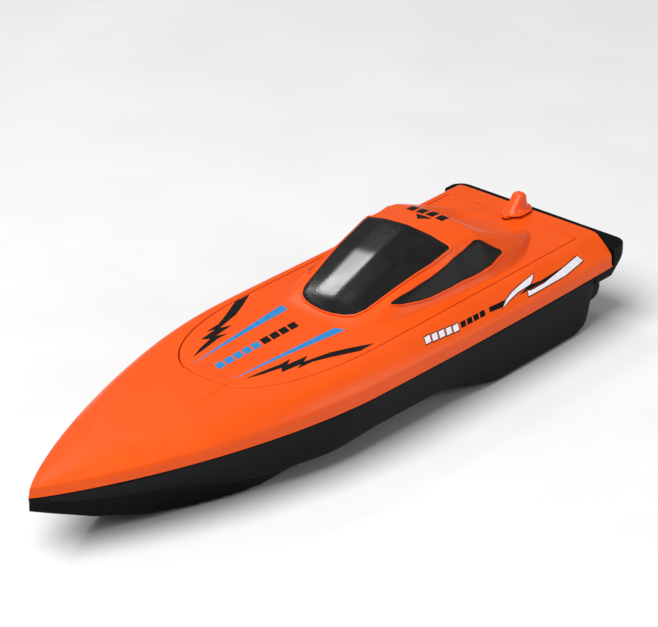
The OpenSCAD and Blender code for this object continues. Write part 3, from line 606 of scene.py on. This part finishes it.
def opening_half(part, t, grow=HATCH_GAP, corner=1.6):
    """Half of the opening for the hatch in plan."""
    rear = HATCH_REAR_X - grow
    side = float(hatch_width(rear + corner)) + grow
    if part == "rear":
        return rear, (side - corner) * t
    if part == "corner":
        return rear + corner * (1 - math.cos(t)), side - corner * (1 - math.sin(t))
    if part == "side":
        x = mix(rear + corner, ARC_X, t)
        return x, float(hatch_width(x)) + grow
    turn = t * math.pi / 2
    reach = HATCH_FRONT_X - ARC_X + grow
    return ARC_X + reach * math.sin(turn) ** 0.8, (HATCH_HALF + grow) * max(math.cos(turn), 0) ** 0.8


FRONT_STEPS = 150
LIP_FILLET = 3.0
REAR_FILLET = 0.8

edge_plan = ring_plan(deck_half, FRONT_STEPS)
hole_plan = ring_plan(opening_half, FRONT_STEPS)
span = np.linalg.norm(hole_plan - edge_plan, axis=1)
inward = (hole_plan - edge_plan) / span[:, None]
# The fillet between lip and top is small on the rear face and grows round the corner.
fillet = mix(REAR_FILLET, LIP_FILLET, ease((edge_plan[:, 0] - DECK_REAR_X - 0.3) / 4))


def ring_point(distance, z):
    """Points at a height and at a distance from the deck edge towards the opening."""
    plan = edge_plan + inward * np.asarray(distance).reshape(-1, 1)
    return np.column_stack([plan, np.broadcast_to(z, len(plan))])


def ring_surface(distance, drop=0.0):
    """Points on the deck surface, or below it, at a distance from the deck edge."""
    plan = edge_plan + inward * np.asarray(distance).reshape(-1, 1)
    return np.column_stack([plan, deck_height(plan[:, 0], plan[:, 1]) - drop])


# The fillet is a Bezier curve between the lip face and the deck, pulled to the rim.
rim = ring_surface(np.full(len(span), LEAN))
shoulder = ring_surface(LEAN + 0.8 * fillet)
beyond = ring_surface(LEAN + 0.8 * fillet + 0.2)
rim[:, 2] = shoulder[:, 2] - (beyond[:, 2] - shoulder[:, 2]) * 4 * fillet
lip_top = ring_point(LEAN * 0.95, rim[:, 2] - fillet * 1.05)
columns = [
    ring_point(0.40, SEAM_Z),
    ring_point(0.10, SEAM_Z + 0.10),
    ring_point(0.0, SEAM_Z + 0.40),
    ring_point(0.06, SEAM_Z + 0.75),
    ring_point(0.34, SEAM_Z + 1.0),
    ring_point(0.42, SEAM_Z + 1.4),
]
for t in np.linspace(0, 1, 10):
    columns.append((1 - t) ** 2 * lip_top + 2 * t * (1 - t) * rim + t * t * shoulder)
for t in np.linspace(0, 1, 56)[1:]:
    columns.append(ring_surface(mix(LEAN + 0.8 * fillet, span - EDGE_R, t)))
hole_z = deck_height(hole_plan[:, 0], hole_plan[:, 1])
for turn in quarter(5)[1:]:
    columns.append(ring_point(span - EDGE_R * (1 - math.sin(turn)), hole_z - EDGE_R * (1 - math.cos(turn))))
columns += [
    ring_point(span, SHELF_Z + 0.2),
    ring_point(span + 0.2, SHELF_Z),
    ring_point(span + 3.8, SHELF_Z),
    ring_point(span + 4.0, SHELF_Z - 0.2),
    ring_point(span + 4.0, SHELF_Z - 1.6),
    ring_point(span - WALL, SHELF_Z - 1.6),
]
for share in (0.0, 0.12, 0.25, 0.4, 0.55, 0.7):
    columns.append(ring_surface(mix(span - WALL, 3.4, share), WALL + 0.2))
columns += [ring_point(2.4, rim[:, 2] - WALL - 0.8), ring_point(1.9, SEAM_Z)]
deck_points = np.stack(columns, 1)
deck = build_mesh("deck_body", [loft(list(deck_points), close=True)])
carve(deck, [upright(bar(PIN_D / 2 + 0.05, -8, 4), (LATCH_X, 0, DECK_Z), 48)])
settle(deck, "boat", FINISHES["deck_orange"], ["deck"], crisp=32)

# ---------- hatch with cabin ----------


def latch_outline(grow):
    """Teardrop plan of the latch: a round tail and a narrow nose."""
    tail_x, nose_x, tail_r, nose_r = LATCH_X - 1.2, LATCH_X + 10.8, 4.8 + grow, 1.7 + grow
    lean = math.asin((tail_r - nose_r) / (nose_x - tail_x))
    tail = np.linspace(math.pi / 2 - lean, 1.5 * math.pi + lean, 28)
    nose = np.linspace(-math.pi / 2 + lean, math.pi / 2 - lean, 16)
    around = [(tail_x + tail_r * math.cos(a), tail_r * math.sin(a)) for a in tail]
    around += [(nose_x + nose_r * math.cos(a), nose_r * math.sin(a)) for a in nose]
    return np.array(around)


def level(outline, z):
    """A plan outline at one height."""
    return np.column_stack([outline, np.full(len(outline), z)])


def prism(outline, low, high):
    """A straight prism over a plan outline."""
    return loft([level(outline, z) for z in (low, high)])


REAR_R = 1.5
rear_rows = [(HATCH_REAR_X + d, REAR_R - math.sqrt(REAR_R**2 - (REAR_R - d) ** 2))
             for d in (0.0, 0.1, 0.3, 0.6, 1.0, REAR_R)]
body_rows = [(x, 0.0) for x in np.linspace(HATCH_REAR_X + 2.5, ARC_X, 128)]
front_turns = np.linspace(0, math.radians(89.2), 74)[1:]


def hatch_plan(inset):
    """Plan rows of the hatch, inset from its edge, with columns that follow the cabin."""
    rows = []
    for x, cut in rear_rows + body_rows:
        rows.append((max(x, HATCH_REAR_X + inset), float(hatch_width(x)) - inset - cut))
    for turn in front_turns:
        reach = HATCH_FRONT_X - ARC_X - inset
        rows.append((ARC_X + reach * math.sin(turn) ** 0.8, (HATCH_HALF - inset) * math.cos(turn) ** 0.8))
    x = np.array([r[0] for r in rows])
    width = np.array([r[1] for r in rows])
    if inset > EDGE_R:
        x = np.maximum.accumulate(x + np.arange(len(x)) * 1e-4)
    profile = cabin_profile(x)
    shares = (0, 0.3, 0.55, 0.68, 0.8, 0.92, 1)
    steps = (12, 13, 6, 8, 6, 6)
    places = [np.minimum(y, width * share) for (y, _), share in zip(profile, shares)] + [width]
    half = [mix(a, b, t) for a, b, n in zip(places, places[1:], steps)
            for t in np.linspace(0, 1, n, endpoint=False)]
    half.append(width)
    half = np.stack(half, 1)
    y = np.hstack([-half[:, :0:-1], half])
    return np.broadcast_to(x[:, None], y.shape), y


top_x, top_y = hatch_plan(EDGE_R)
under_x, under_y = hatch_plan(EDGE_R + WALL + 0.2)
rows, cols = top_x.shape
top_z = hatch_height(top_x.ravel(), top_y.ravel())
under_z = hatch_height(under_x.ravel(), under_y.ravel()) - WALL
top = np.column_stack([top_x.ravel(), top_y.ravel(), top_z])
under = np.column_stack([under_x.ravel(), under_y.ravel(), under_z])
border = list(range(cols))
border += [i * cols + cols - 1 for i in range(1, rows)]
border += [(rows - 1) * cols + j for j in range(cols - 2, -1, -1)]
border += [i * cols for i in range(rows - 2, 0, -1)]
rim_plan, rim_z = top[border, :2], top[border, 2]
rim_out = outward(rim_plan)
loops = []
for turn in quarter(5)[1:]:
    lower = rim_z - EDGE_R * (1 - math.cos(turn))
    loops.append(np.column_stack([rim_plan + rim_out * EDGE_R * math.sin(turn), lower]))
skirt_rings = [(rim_plan + rim_out * EDGE_R, SKIRT_Z + 0.2), (rim_plan + rim_out * (EDGE_R - 0.2), SKIRT_Z),
               (under[border, :2] + rim_out * 0.2, SKIRT_Z)]
loops += [level(plan, z) for plan, z in skirt_rings]
faces = grid_faces(rows, cols)
base, last = len(top), border
points = [top]
for loop in loops:
    now = list(range(base, base + len(border)))
    faces += band(last, now)
    points.append(loop)
    base, last = base + len(now), now
faces += band(last, [base + i for i in border])
faces += [tuple(base + i for i in reversed(f)) for f in grid_faces(rows, cols)]
points.append(under)
hatch = build_mesh("hatch_body", [(np.concatenate(points), faces)])
LATCH_GAP = 0.4
carve(hatch, [prism(latch_outline(LATCH_GAP), DECK_Z - 6, DECK_Z + 12)])
settle(hatch, "hatch", FINISHES["deck_orange"], ["hatch_cover"], crisp=32)

# ---------- windows ----------

SHIELD_HALF = [(-72.6, 0), (-72.8, 14), (-73.0, 24.6), (-60, 23.6), (-46, 21.6), (-30, 19.2), (-22, 18.0),
               (-17.6, 15.6), (-15.2, 11.6), (-13.8, 6.0), (-13.3, 0)]
SIDE_WINDOW = [(-31.2, 24.6), (-37.2, 25.3), (-43.1, 26.3), (-55.9, 27.4), (-69.7, 27.7),
               (-77.3, 27.3), (-88.8, 26.6), (-96.9, 29.2), (-103.3, 31.4), (-92.6, 33.0),
               (-85.5, 32.8), (-78.6, 32.4), (-65.1, 31.7), (-52.3, 30.5), (-46.4, 29.5),
               (-40.8, 28.2), (-35.4, 26.8)]
PANE_LIFT = 0.35
PANE_DROP = 0.3
PANE_EDGE = 0.3
RIM_R = 0.5

shield = np.vstack([SHIELD_HALF, mirror_y(SHIELD_HALF[-2:0:-1])])
shield = soften_loop(shield, 1.3, 0.6)
pane = build_mesh("windshield_pane", [sheet(shield, hatch_height, PANE_LIFT, PANE_DROP, PANE_EDGE, 1.4)])
settle(pane, "hatch", FINISHES["window_gloss"], ["windshield"])
shield_rim = shield + outward(shield) * (PANE_EDGE + 0.75 * RIM_R)
rims = [bead(soften_loop(shield_rim, 0.5, 0.6), hatch_height, RIM_R, 0.5 * RIM_R)]
for side, name in SIDES:
    window = soften_loop(np.array(SIDE_WINDOW) * (1, side), 0.9, 0.5)
    shell = sheet(window, hatch_height, PANE_LIFT, PANE_DROP, PANE_EDGE, 1.0)
    pane = build_mesh("side_pane_" + name, [shell])
    settle(pane, "hatch", FINISHES["window_satin"], ["side_window_" + name])
    line = window + outward(window) * (PANE_EDGE + 0.75 * RIM_R)
    rims.append(bead(soften_loop(line, 0.5, 0.5), hatch_height, 0.8 * RIM_R, 0.5 * RIM_R))
settle(build_mesh("window_rims", rims), "hatch", FINISHES["deck_orange"])

# ---------- prints ----------

PRINT_LIFT = 0.05
PRINT_Y = -1.0
BOLT = [(55, 15.6), (45.3, 16.9), (35.4, 18.7), (28.8, 18.7), (33.9, 21.2), (21.8, 22.6), (27.2, 25.0),
        (12.8, 28.2), (3.7, 32.1), (-6.5, 37.2), (3.2, 37.3), (16.3, 31.3), (24.7, 28.0), (33.9, 27.1),
        (29.8, 25.5), (40.7, 24.0), (37.6, 21.2), (47.3, 18.7)]
STRIPE = [(61, 11.4), (-6.4, 14.0), (-7.9, 19.1)]
SIDE_BAR = [(-73.0, 48.9), (-74.2, 47.2), (-89.1, 47.6), (-83.0, 49.4)]
SHARD_FORE = [(-81.3, 49.7), (-86.3, 47.7), (-92.5, 46.2), (-99.6, 45.2), (-111.0, 44.0), (-108.2, 45.6),
              (-105.5, 46.8), (-101.1, 47.0), (-95.9, 47.2), (-88.8, 48.2)]
SLIVER = [(-94.8, 48.4), (-105.1, 46.9), (-112.6, 47.4), (-129.0, 46.8), (-118.0, 48.3), (-103.8, 48.4)]
SHARD_AFT = [(-101.5, 48.3), (-102.8, 48.9), (-112.9, 48.8), (-128.2, 47.3), (-141.9, 45.8),
             (-143.5, 48.2), (-128.1, 49.9), (-111.2, 50.2), (-99.8, 50.3)]
EMBLEM = [(-86.6, -6.4), (-86.6, 3.2), (-81.8, -1.6)]
OUTLINE_WIDTH = 0.35


def slanted(start, end, low, high, slant):
    """A slanted bar between two stations."""
    return [(start, low), (end, low), (end + slant, high), (start + slant, high)]


def resample_corners(loop, step):
    """Extra points along the sides of an outline, with its corners kept."""
    made = []
    for a, b in zip(loop, np.roll(loop, -1, axis=0)):
        count = max(int(np.linalg.norm(b - a) / step), 1)
        made += [mix(a, b, t) for t in np.linspace(0, 1, count, endpoint=False)]
    return np.array(made)


def print_piece(name, colour, outlines, height, body, lift=PRINT_LIFT):
    """Thin printed shapes of one colour on a height field."""
    shells = []
    for outline in outlines:
        loop = np.asarray(outline, float)
        size = np.linalg.norm(np.diff(np.vstack([loop, loop[:1]]), axis=0), axis=1).sum()
        loop = resample_corners(loop, 0.8 if size > 30 else 0.5)
        shells.append(sheet(loop, height, lift, 0.03, 0.0, 0.9))
    settle(build_mesh(name, shells), body, PRINTS[colour])


def widen(outline, distance):
    """An outline with every side moved out by the same distance."""
    loop = np.asarray(outline, float)
    ahead, behind = unit(np.roll(loop, -1, axis=0) - loop), unit(loop - np.roll(loop, 1, axis=0))
    sign = plan_sign(loop)
    out_a = sign * np.stack([ahead[:, 1], -ahead[:, 0]], 1)
    out_b = sign * np.stack([behind[:, 1], -behind[:, 0]], 1)
    middle = unit(out_a + out_b)
    reach = distance / np.maximum(np.sum(middle * out_a, axis=1), 0.35)
    return loop + middle * reach[:, None]


def both(outline, centre=0.0):
    """The same outline on the port side and mirrored to starboard."""
    loop = np.asarray(outline, float)
    return [loop + (0, centre), loop * (1, -1) + (0, centre)]


print_piece("bow_bolts", "black", both(BOLT, PRINT_Y), hatch_height, "hatch")
print_piece("bow_stripes", "blue", both(STRIPE, PRINT_Y), hatch_height, "hatch")
marks = [slanted(x, x - 4.7, -4.7, -0.1, 1.9) for x in 54.2 - 5.9 * np.arange(5)]
print_piece("bow_bars_blue", "blue", marks, hatch_height, "hatch")
marks = [slanted(x, x - 4.9, -4.8, -0.1, 1.9) for x in 24.2 - 6.1 * np.arange(4)]
print_piece("bow_bars_black", "black", marks, hatch_height, "hatch")
marks = [slanted(-88.2, -94.0, y, y + 4.3, 0) for y in (-14.0, -8.2, -2.4, 3.4)]
print_piece("roof_marks", "black", marks + [EMBLEM], hatch_height, "hatch")
marks = [slanted(x, x - 3.6, 46.0 - 0.055 * (x + 30), 48.3 - 0.05 * (x + 30), 1.4)
         for x in -29.5 - 4.7 * np.arange(5)]
backs = [widen(mark, OUTLINE_WIDTH) for mark in marks]
print_piece("side_bars_back", "black", [m for b in backs for m in both(b)], deck_height, "boat")
print_piece("side_bars_white", "white", [m for b in marks for m in both(b)], deck_height, "boat", 0.09)
marks = [slanted(x, x - 3.6, 47.1, 49.1, 1.4) for x in -53.6 - 4.6 * np.arange(4)]
print_piece("side_bars_black", "black", [m for b in marks for m in both(b)], deck_height, "boat")
print_piece("side_dashes", "black", both(SIDE_BAR) + both(SLIVER), deck_height, "boat")
shards = [SHARD_FORE, SHARD_AFT]
backs = [m for s in shards for m in both(widen(s, OUTLINE_WIDTH))]
print_piece("side_shards_back", "black", backs, deck_height, "boat", 0.06)
print_piece("side_shards", "white", [m for s in shards for m in both(s)], deck_height, "boat", 0.10)

# ---------- hull ----------

FOOT_R = 11.0
CHINE_Z = 11.0
CHINE_DIP = 2.6
CHINE_RISE = 19.0
CHINE_SHARE_AFT, CHINE_SHARE_FORE = 0.89, 0.45
KEEL_RISE_X = 120.0
KEEL_RISE = 25.0
FOOT_H = 6.0
HULL_BOW_X = BOW_X - 0.4
BILGE_SHARE = [(20, 0.5), (45, 0.84), (75, 0.88), (100, 0.83), (130, 0.8), (175, 0.8)]
BILGE = [(40, 5.5), (50, 5), (63, 1.8), (80, 1), (95, 1), (106, 2.2), (117, 3.6), (130, 7.4), (142, 10.8),
         (175, 25)]
EDGE_IN = 0.9
STERN_R = 1.4


def hull_lines(x, inset):
    """Half section of the hull at one station, from the rim down to the keel."""
    edge = float(beam(x))
    round_off = np.clip((TRANSOM_X + STERN_R + inset - x) / STERN_R, 0, 1)
    side = STERN_R * (1 - math.sqrt(1 - round_off**2)) + inset
    rise = np.clip((TRANSOM_X + FOOT_R - x) / FOOT_R, 0, 1)
    low = FOOT_H * (1 - math.sqrt(1 - rise**2)) + inset
    keel = 0.0 if x < KEEL_RISE_X else KEEL_RISE * ((x - KEEL_RISE_X) / 55) ** 1.15
    if x > 20:
        chine = CHINE_Z + CHINE_RISE * ((x - 20) / 155) ** 4
    else:
        chine = CHINE_Z * float(ease((x + 85) / 43))
    chine -= CHINE_DIP * float(ease(x / 40) * (1 - ease((x - 72) / 38)))
    half = edge * mix(CHINE_SHARE_AFT, CHINE_SHARE_FORE, float(ease((x - 20) / 150)))
    rim_y = max(edge - EDGE_IN - side, 0.6)
    chine_y = max(min(half - side, rim_y - 0.2), 0.3)
    zc = min(max(chine, keel) + low, SEAM_Z - 1.6)
    zk = min(keel + low, SEAM_Z - 1.8)
    groove = max(rim_y - EDGE_IN, 0.4)
    bilge_z = mix(zk, zc, 0.5) if x < 40 else min(float(table(x, BILGE, 4.0)) + low, mix(zk, zc, 0.8))
    bilge = (chine_y * float(table(x, BILGE_SHARE, 6.0)), bilge_z)
    return np.array([
        (groove, SEAM_Z), (groove, SEAM_Z - 0.6), (rim_y, SEAM_Z - 0.9),
        (mix(rim_y, chine_y, 0.3), mix(SEAM_Z, zc, 0.35)),
        (mix(rim_y, chine_y, 0.65), mix(SEAM_Z, zc, 0.7)),
        (mix(rim_y, chine_y, 0.97), min(zc + 1.2, SEAM_Z - 1.2)),
        (max(chine_y - 1.6, chine_y * 0.6), zc),
        bilge, (0.0, zk),
    ])


def hull_section(x, inset):
    """Both sides of the hull at one station, with softened corners."""
    half = soften_line(hull_lines(x, inset), 0.7, 44)
    yz = np.vstack([half, half[-2::-1] * (-1, 1)])
    return np.column_stack([np.full(len(yz), x), yz])


foot_turns = quarter(16)
hull_x = list(TRANSOM_X + FOOT_R * (1 - np.cos(foot_turns)))
hull_x += list(np.linspace(TRANSOM_X + FOOT_R, KEEL_RISE_X, 120)[1:])
hull_x += list(np.linspace(KEEL_RISE_X, HULL_BOW_X, 50)[1:])
inner_x = np.interp(hull_x, (TRANSOM_X, HULL_BOW_X), (TRANSOM_X + WALL, HULL_BOW_X - 9))
outer = [hull_section(x, 0.0) for x in hull_x]
inner = [hull_section(x, WALL) for x in inner_x]
rows, cols = len(outer), len(outer[0])
count = rows * cols
faces = grid_faces(rows, cols) + [tuple(count + i for i in reversed(f)) for f in grid_faces(rows, cols)]
for column in (0, cols - 1):
    edge = [i * cols + column for i in range(rows)]
    faces += [(a, b, b + count, a + count) for a, b in zip(edge, edge[1:])]
last_row = (rows - 1) * cols
for first in (0, count, last_row, last_row + count):
    faces.append(tuple(range(first, first + cols)))
faces.append((0, cols - 1, count + cols - 1, count))
faces.append((last_row, last_row + cols - 1, last_row + count + cols - 1, last_row + count))
hull_shell = (np.concatenate(outer + inner), faces)

PLATFORM_R = 7.0
PLATFORM_EDGE = 0.45
PLATFORM_FRONT_X = DECK_REAR_X - 0.3
MOULD_R = 1.2
MOULD_STEP = 0.3
SHELF_LOW = 26.2
SHELF_END_X = -162.0
TAIL_LOW = 38.0


def platform_section(y):
    """Rounded (x, z) section of the stern platform at one distance from the centre line."""
    past = max(abs(y) - (PLATFORM_HALF - PLATFORM_R), 0)
    rear = STERN_X + PLATFORM_R - math.sqrt(PLATFORM_R**2 - min(past, PLATFORM_R) ** 2)
    front = TRANSOM_X + 1
    line = [(front, SHELF_LOW), (SHELF_END_X, SHELF_LOW), (STERN_X, TAIL_LOW), (STERN_X, PLATFORM_Z),
            (PLATFORM_FRONT_X, PLATFORM_Z), (PLATFORM_FRONT_X, SEAM_Z), (front, SEAM_Z)]
    if rear > STERN_X:
        slope = (TAIL_LOW - SHELF_LOW) / (STERN_X - SHELF_END_X)
        line[2:4] = [(rear, SHELF_LOW + (rear - SHELF_END_X) * slope), (rear, PLATFORM_Z)]
    loop = soften_loop(resample(line, 240, True), MOULD_R, MOULD_STEP)
    loop = resample(loop, 180, True)
    past = np.clip((abs(y) - PLATFORM_HALF + PLATFORM_EDGE) / PLATFORM_EDGE, 0, 1)
    loop = loop - outward(loop) * PLATFORM_EDGE * (1 - math.sqrt(1 - past**2)) * 0.95
    return np.column_stack([loop[:, 0], np.full(len(loop), y), loop[:, 1]])


corner_turns = quarter(14)
edge_turns = quarter(7)
half_y = list(np.linspace(0, PLATFORM_HALF - PLATFORM_R, 12))
half_y += list(PLATFORM_HALF - PLATFORM_R + (PLATFORM_R - PLATFORM_EDGE) * np.sin(corner_turns))[1:]
half_y += list(PLATFORM_HALF - PLATFORM_EDGE * (1 - np.sin(edge_turns)))[1:]
stations = [-y for y in reversed(half_y[1:])] + half_y
platform = loft([platform_section(y) for y in stations])

GUARD_Y, GUARD_WIDTH, GUARD_EDGE = 44.0, 3.5, 0.7
GUARD_LINE = [(-149, 26.5), (-161, 26.5), (-161, 19), (-159.6, 15.5), (-156, 14), (-149, 14)]


def guard_section(share, side):
    """Section of a propeller-guard stub, from its inner to its outer face."""
    offset = GUARD_WIDTH / 2 * math.sin(share * math.pi / 2)
    past = max(abs(offset) - GUARD_WIDTH / 2 + GUARD_EDGE, 0) / GUARD_EDGE
    drop = GUARD_EDGE * (1 - math.sqrt(1 - past**2))
    loop = resample(soften_loop(GUARD_LINE, MOULD_R, MOULD_STEP), 120, True)
    loop = loop - outward(loop) * drop
    return np.column_stack([loop[:, 0], np.full(len(loop), side * GUARD_Y + offset), loop[:, 1]])


guards = [loft([guard_section(s, side) for s in np.linspace(-1, 1, 17)]) for side in (1, -1)]
TUBE_R = 2.0
CONTACT_Y, CONTACT_Z, CONTACT_R = 6, 20, 1.0
POST_PLACES = [(-46.0, 24.0, 6.0), (50.0, 18.0, 3.4)]
posts = [upright([(low, 1.0), (low, 3.5), (13.7, 3.5), (14, 3.2), (14, 1.0)], (x, side * y, 0))
         for x, y, low in POST_PLACES for side in (1, -1)]
hull = build_mesh("hull_body", [hull_shell])
bores = [lathe(bar(TUBE_R, -5, 6), (TRANSOM_X, side * SHAFT_Y, SHAFT_Z)) for side in (1, -1)]
bores += [lathe(bar(CONTACT_R, -5, 6), (TRANSOM_X, side * CONTACT_Y, CONTACT_Z)) for side in (1, -1)]
carve(hull, bores)
fittings = build_mesh("hull_fittings", [platform] + guards + posts)
settle(fittings, "boat", FINISHES["hull_black"])
settle(hull, "boat", FINISHES["hull_black"], ["hull_lower"], crisp=32)

# ---------- latch ----------

PLATE_H = 2.0
PLATE_R = 0.8
FIN_TOP_R = 3.2
FIN_TOP = (LATCH_X + 1.1, LATCH_Z + 10.2 - FIN_TOP_R)
FIN_FOOT_Z = LATCH_Z + PLATE_H - 0.6
FIN_FRONT_X = LATCH_X + 10.0
FIN_REAR_X = LATCH_X - 3.4
FIN_FOOT_HALF, FIN_TOP_HALF = 4.1, 3.0
FIN_FLARE, FIN_FLARE_H = 1.1, 0.7
# The sides of the fin close in from this share of the top radius. The span is a little over
# (1 - FIN_CLOSE) ** 2, so that the top keeps some thickness.
FIN_CLOSE = 0.45
FIN_CLOSE_SPAN = 0.3026


def plate_loop(inset, z):
    """One ring of the latch plate."""
    return level(latch_outline(-inset), z)


plate = [plate_loop(0.25, LATCH_Z), plate_loop(0.08, LATCH_Z + 0.1), plate_loop(0.0, LATCH_Z + 0.3)]
for turn in quarter(7):
    inset, drop = PLATE_R * (1 - math.cos(turn)), PLATE_R * (1 - math.sin(turn))
    plate.append(plate_loop(inset, LATCH_Z + PLATE_H - drop))


def squarish(v):
    """Pushes a sine or cosine out, so that a circle turns into a rounded square."""
    return np.sign(v) * np.abs(v) ** 0.75


def fin_section(share):
    """Plan section of the upright fin at a share of its height."""
    top_z = FIN_TOP[1] + FIN_TOP_R
    z = mix(FIN_FOOT_Z, top_z, share)
    up = (z - FIN_TOP[1]) / FIN_TOP_R
    cap = FIN_TOP_R * math.sqrt(max(1 - up * up, 0)) if up > -1 else FIN_TOP_R
    nose = np.array([FIN_FRONT_X, FIN_FOOT_Z])
    toward = np.array(FIN_TOP) - nose
    reach = np.linalg.norm(toward)
    angle = math.atan2(toward[1], toward[0]) - math.asin(FIN_TOP_R / reach)
    front = nose[0] + (z - nose[1]) / math.tan(angle)
    touch_z = nose[1] + math.sqrt(reach**2 - FIN_TOP_R**2) * math.sin(angle)
    if z > touch_z:
        front = FIN_TOP[0] + cap
    rise = min((z - FIN_FOOT_Z) / (FIN_TOP[1] - FIN_FOOT_Z), 1)
    rear = mix(FIN_REAR_X, FIN_TOP[0] - FIN_TOP_R, rise)
    if z > FIN_TOP[1]:
        rear = FIN_TOP[0] - cap
    flare = FIN_FLARE * math.exp(-(z - FIN_FOOT_Z - 0.4) / FIN_FLARE_H)
    closing = math.sqrt(max(1 - max(up - FIN_CLOSE, 0) ** 2 / FIN_CLOSE_SPAN, 0.0))
    thick = (mix(FIN_FOOT_HALF, FIN_TOP_HALF, share) + flare) * closing
    turns = np.arange(40) * math.tau / 40
    x = (front + rear) / 2 + ((front - rear) / 2 + flare * 0.4) * squarish(np.cos(turns))
    return np.column_stack([x, thick * squarish(np.sin(turns)), np.full(40, z)])


fin_shares = np.r_[np.linspace(0, 0.12, 8)[:-1], np.linspace(0.12, 0.7, 14)[:-1],
                   0.7 + 0.2999 * np.sin(quarter(14))]
fin = loft([fin_section(s) for s in fin_shares])
PIN_FOOT = LATCH_Z - 4.5
pin = upright([(0, 1.0), (0, PIN_D / 2 - 0.2), (0.2, PIN_D / 2), (5.2, PIN_D / 2), (5.2, 1.0)],
              (LATCH_X, 0, PIN_FOOT), 48)
latch = build_mesh("latch_body", [loft(plate), fin, pin])
settle(latch, "latch", FINISHES["latch_orange"], ["hatch_latch"], crisp=30)

# ---------- propellers ----------

PROP_X, PROP_LENGTH, PROP_R = -163.0, 6.0, 10.5
PITCH = 25.0
BLADE_ROOT_R = 1.9
CHORD_ROOT, CHORD_TIP = 4.6, 7.4
THICK_ROOT, THICK_TIP = 1.25, 0.55
TIP_SHARE = 0.62
hub = [(0, SHAFT_R), (0, 1.7), (0.25, 2.15), (0.8, 2.42), (1.6, 2.5), (5.7, 2.5), (6.0, 2.2), (6.0, SHAFT_R)]


def blade(side, turn):
    """One twisted blade, from inside the hub to its rounded tip."""
    sections = []
    around = np.arange(20) * math.tau / 20
    for share in np.r_[np.linspace(0, 0.8, 14), 0.8 + 0.195 * np.sin(quarter(9))[1:]]:
        radius = mix(BLADE_ROOT_R, PROP_R - 0.02, share)
        angle = math.atan2(PITCH, math.tau * radius)
        chord = mix(CHORD_ROOT, CHORD_TIP, math.sin(min(share * 1.5, 1) * math.pi / 2))
        chord *= math.sqrt(max(1 - max((share - TIP_SHARE) / (1 - TIP_SHARE), 0) ** 2, 0.01))
        thick = mix(THICK_ROOT, THICK_TIP, share)
        along = chord / 2 * np.cos(around)
        across = thick / 2 * np.sin(around)
        run = along * math.cos(angle) + across * math.sin(angle)
        rise = along * math.sin(angle) - across * math.cos(angle)
        place = side * run / radius + turn
        sections.append(np.column_stack([
            PROP_X + PROP_LENGTH / 2 + rise,
            side * SHAFT_Y + radius * np.sin(place),
            SHAFT_Z + radius * np.cos(place),
        ]))
    return loft(sections)


for (side, name), body in zip(SIDES, ("port_drive", "starboard_drive")):
    shells = [lathe(hub, (PROP_X, side * SHAFT_Y, SHAFT_Z), 40)]
    shells += [blade(side, k * math.tau / 3) for k in range(3)]
    prop = build_mesh("propeller_body_" + name, shells)
    settle(prop, body, FINISHES["propeller_black"], ["propeller_" + name])

# ---------- floor, light and camera ----------

FLOOR_HALF = 6000
FLOOR_Z = -0.3
floor_corners = [(x * FLOOR_HALF, y * FLOOR_HALF, FLOOR_Z) for x, y in ((-1, -1), (1, -1), (1, 1), (-1, 1))]
floor = build_mesh("floor", [(floor_corners, [(0, 1, 2, 3)])])
floor.data.materials.append(finish("floor_pale", (0.80, 0.80, 0.80), (0.83, 0.83, 0.83), (0.60, 0.70),
                                   mottle=60, grain=2.0, relief=0.02))


def area_light(name, bearing, elevation, distance, size, watts, target=(0, 0, 0.03)):
    """A square soft light that points at the boat. Bearing is measured from the bow to port."""
    light = bpy.data.lights.new(name, "AREA")
    light.size = size
    light.energy = watts
    lamp = bpy.data.objects.new(name, light)
    a, e = math.radians(bearing), math.radians(elevation)
    away = Vector((math.cos(a) * math.cos(e), math.sin(a) * math.cos(e), math.sin(e)))
    lamp.location = Vector(target) + away * distance
    lamp.rotation_euler = away.to_track_quat("Z", "Y").to_euler()
    bpy.context.scene.collection.objects.link(lamp)


area_light("key", 0, 62, 1.7, 1.3, 38)
area_light("starboard", -112, 47, 1.5, 0.16, 1.8)
area_light("port", 124, 20, 1.5, 0.5, 4)

WORLD_LIGHT = 0.2
world = bpy.data.worlds.new("studio")
bpy.context.scene.world = world
world.use_nodes = True
put(world.node_tree.nodes["Background"], {"Color": (1, 1, 1, 1), "Strength": WORLD_LIGHT})
bpy.context.scene.view_settings.view_transform = "Standard"

# The camera was fitted to the outlines of the boat in the photo.
VIEW_AXIS = Vector((0.67486, 0.58358, 0.45166)).normalized()
VIEW_TARGET = Vector((-0.01762, -0.00004, 0.04433))
VIEW_DISTANCE = 1.69327
VIEW_LENS = 204.87
camera_data = bpy.data.cameras.new("camera")
camera_data.sensor_width = 36
camera_data.lens = VIEW_LENS
camera_data.clip_end = 50
camera = bpy.data.objects.new("camera", camera_data)
camera.location = VIEW_TARGET + VIEW_AXIS * VIEW_DISTANCE
camera.rotation_euler = (-VIEW_AXIS).to_track_quat("-Z", "Y").to_euler()
bpy.context.scene.collection.objects.link(camera)
bpy.context.scene.camera = camera
